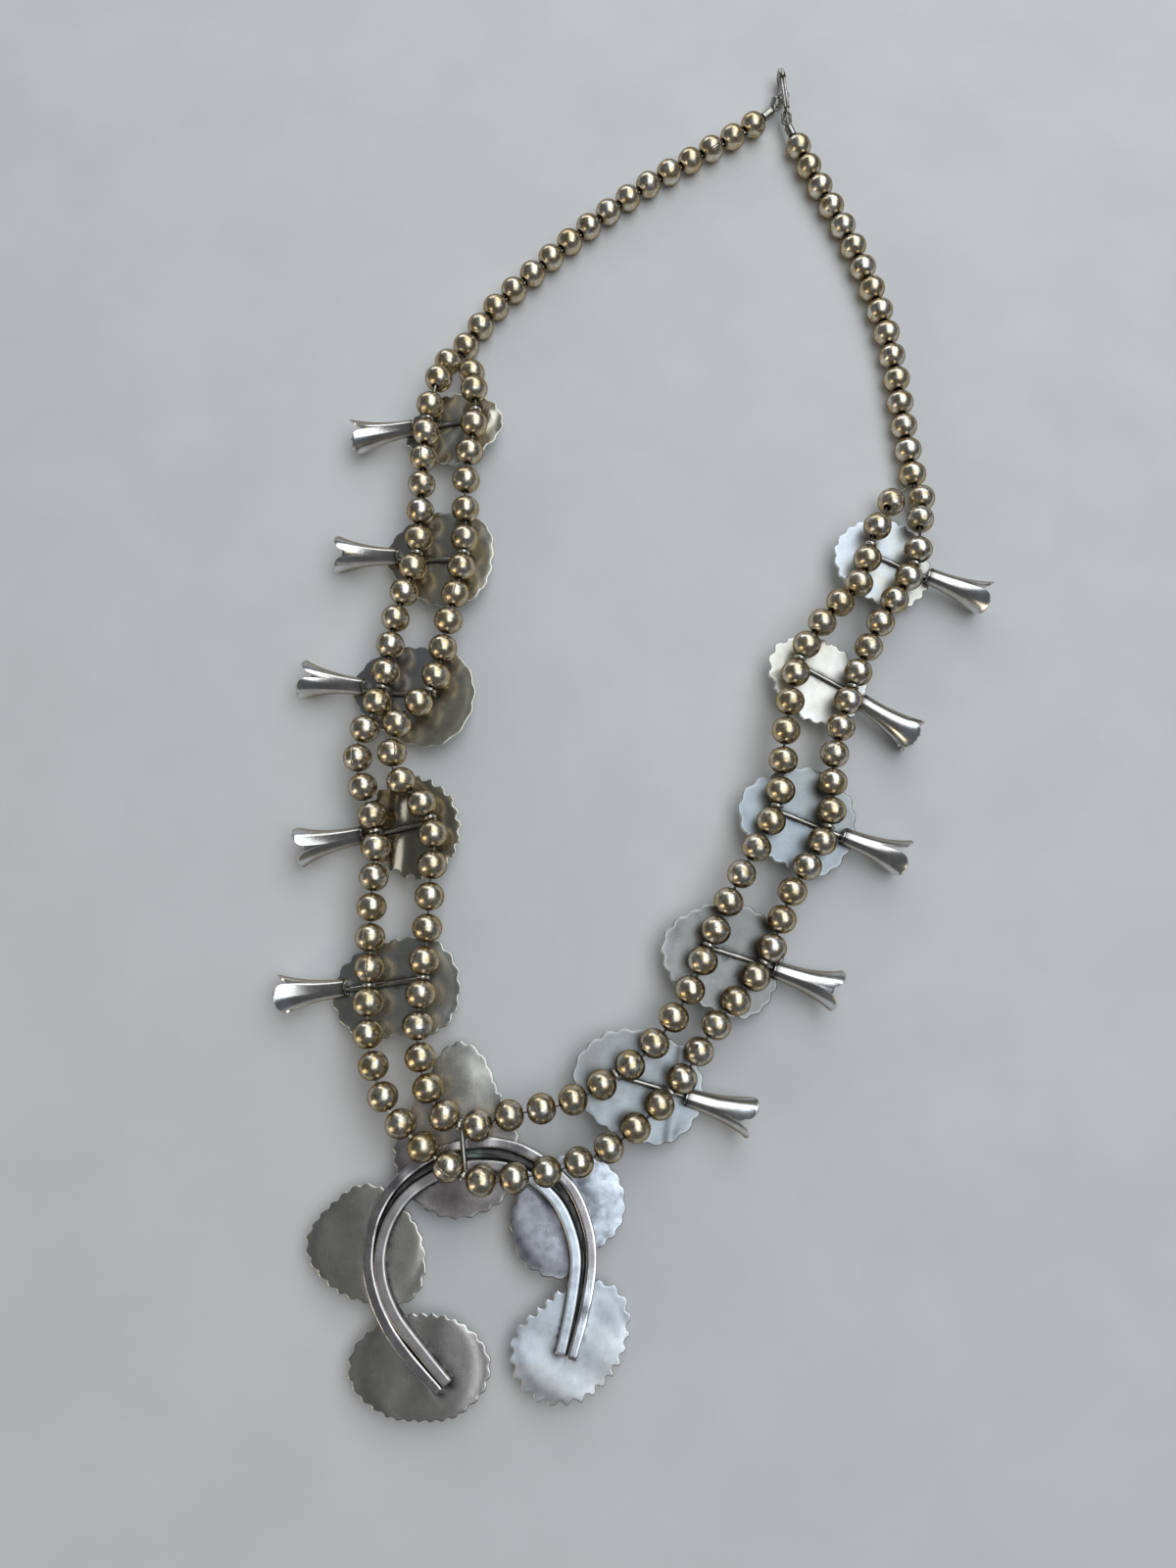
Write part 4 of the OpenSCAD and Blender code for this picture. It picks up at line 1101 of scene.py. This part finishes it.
shank = Shape()
bar_up = band_top + BAR_R - 0.15 * MM
step = unit(feet[1] - feet[0]) * BAR_R
add_bar(shank, seat, feet[0] - step, feet[1] + step, BAR_R, bar_up)
for ring in rings:
    add_eyelet(shank, seat, *ring, bar_up)
shank.piece("naja_shank", shank_silver, "naja_silver", "naja")


# Threads and clasp

WRAP_WIRE, WRAP_STEPS = 0.36 * MM, 20
thread_silver = sheet_look("thread_silver", (0.30, 0.27, 0.21), (0.45, 0.42, 0.36), 0.32)
clasp_silver = sheet_look("clasp_silver", (0.40, 0.37, 0.31), (0.72, 0.71, 0.67), 0.2, blotch=0.7)
link_silver = sheet_look("link_silver", (0.26, 0.25, 0.20), (0.50, 0.48, 0.40), 0.24)
for material, names in (
        (thread_silver, ("outer_thread", "inner_thread")),
        (clasp_silver, ("clasp_hook", "clasp_eye", "end_tip_left", "end_tip_right")),
        (link_silver, ("end_link_left", "end_link_right"))):
    for name in names:
        nodes[name].data.materials.clear()
        nodes[name].data.materials.append(material)


def add_wrap(shape, start, end, radius, turns):
    """A fine wire wound round a link."""
    along = end - start
    first, second = across_of(along)
    t = np.linspace(0, 1, turns * WRAP_STEPS)[:, None]
    a = t * turns * 2 * math.pi
    swell = radius * (1 + 0.06 * np.sin(5 * a / turns))
    path = start + along * t + (first * np.cos(a) + second * np.sin(a)) * swell
    tube(shape, path, WRAP_WIRE / 2, sides=8, soot=0.25, rim=0.35, side=0.3)


# How far each wire winds along its link, from minus one at the foot to one at the far end
for hand, turns, foot, head in (("left", 5, -0.6, 0.24), ("right", 3, -0.5, 0.2)):
    points = welded(f"end_link_{hand}")[0]
    middle = (points.min(axis=0) + points.max(axis=0)) / 2
    off = points - middle
    way = eigh(off.T @ off)[1][:, 2]
    tip = welded(f"end_tip_{hand}")[0].mean(axis=0)
    way = way if (middle - tip) @ way > 0 else -way
    reach = (off @ way).max() * way
    wide = norm(off - np.outer(off @ way, way), axis=1).max()
    wrap = Shape()
    add_wrap(wrap, middle + reach * foot, middle + reach * head, wide * 0.72, turns)
    wrap.piece(f"link_wrap_{hand}", link_silver, "clasp_silver")


# Floor, world and lights

FLOOR_R = 3.0
look = Look("floor", 0.0)
colour = look.mix(look.step(look.noise(0.03), 0.3, 0.7), (0.70, 0.69, 0.67), (0.74, 0.73, 0.71))
mesh = bpy.data.meshes.new("floor")
corners = ((-1, -1), (1, -1), (1, 1), (-1, 1))
mesh.from_pydata([(x * FLOOR_R, y * FLOOR_R, 0) for x, y in corners], [], [(0, 1, 2, 3)])
mesh.materials.append(look.finish(colour, 0.8, look.noise(0.002), 0.1 * MM, 0.1))
placed("floor", mesh)

world = bpy.data.worlds.new("world")
world.use_nodes = True
background = world.node_tree.nodes["Background"]
background.inputs["Color"].default_value = (0.62, 0.66, 0.72, 1.0)
background.inputs["Strength"].default_value = 0.17
bpy.context.scene.world = world
soft_light("key", (0.36, 0.28, 1.05), (0.0, 0.0, 0.0), (0.85, 1.9), 11.5, (0.86, 0.93, 1.0))
soft_light("sky", (-0.25, 1.25, 0.50), (-0.02, 0.0, 0.0), (1.3, 0.35), 3.6, (0.88, 0.94, 1.0))
soft_light("warm", (-0.90, -0.65, 0.32), (0.0, 0.0, 0.0), (0.6, 0.3), 1.7, (1.0, 0.84, 0.58))
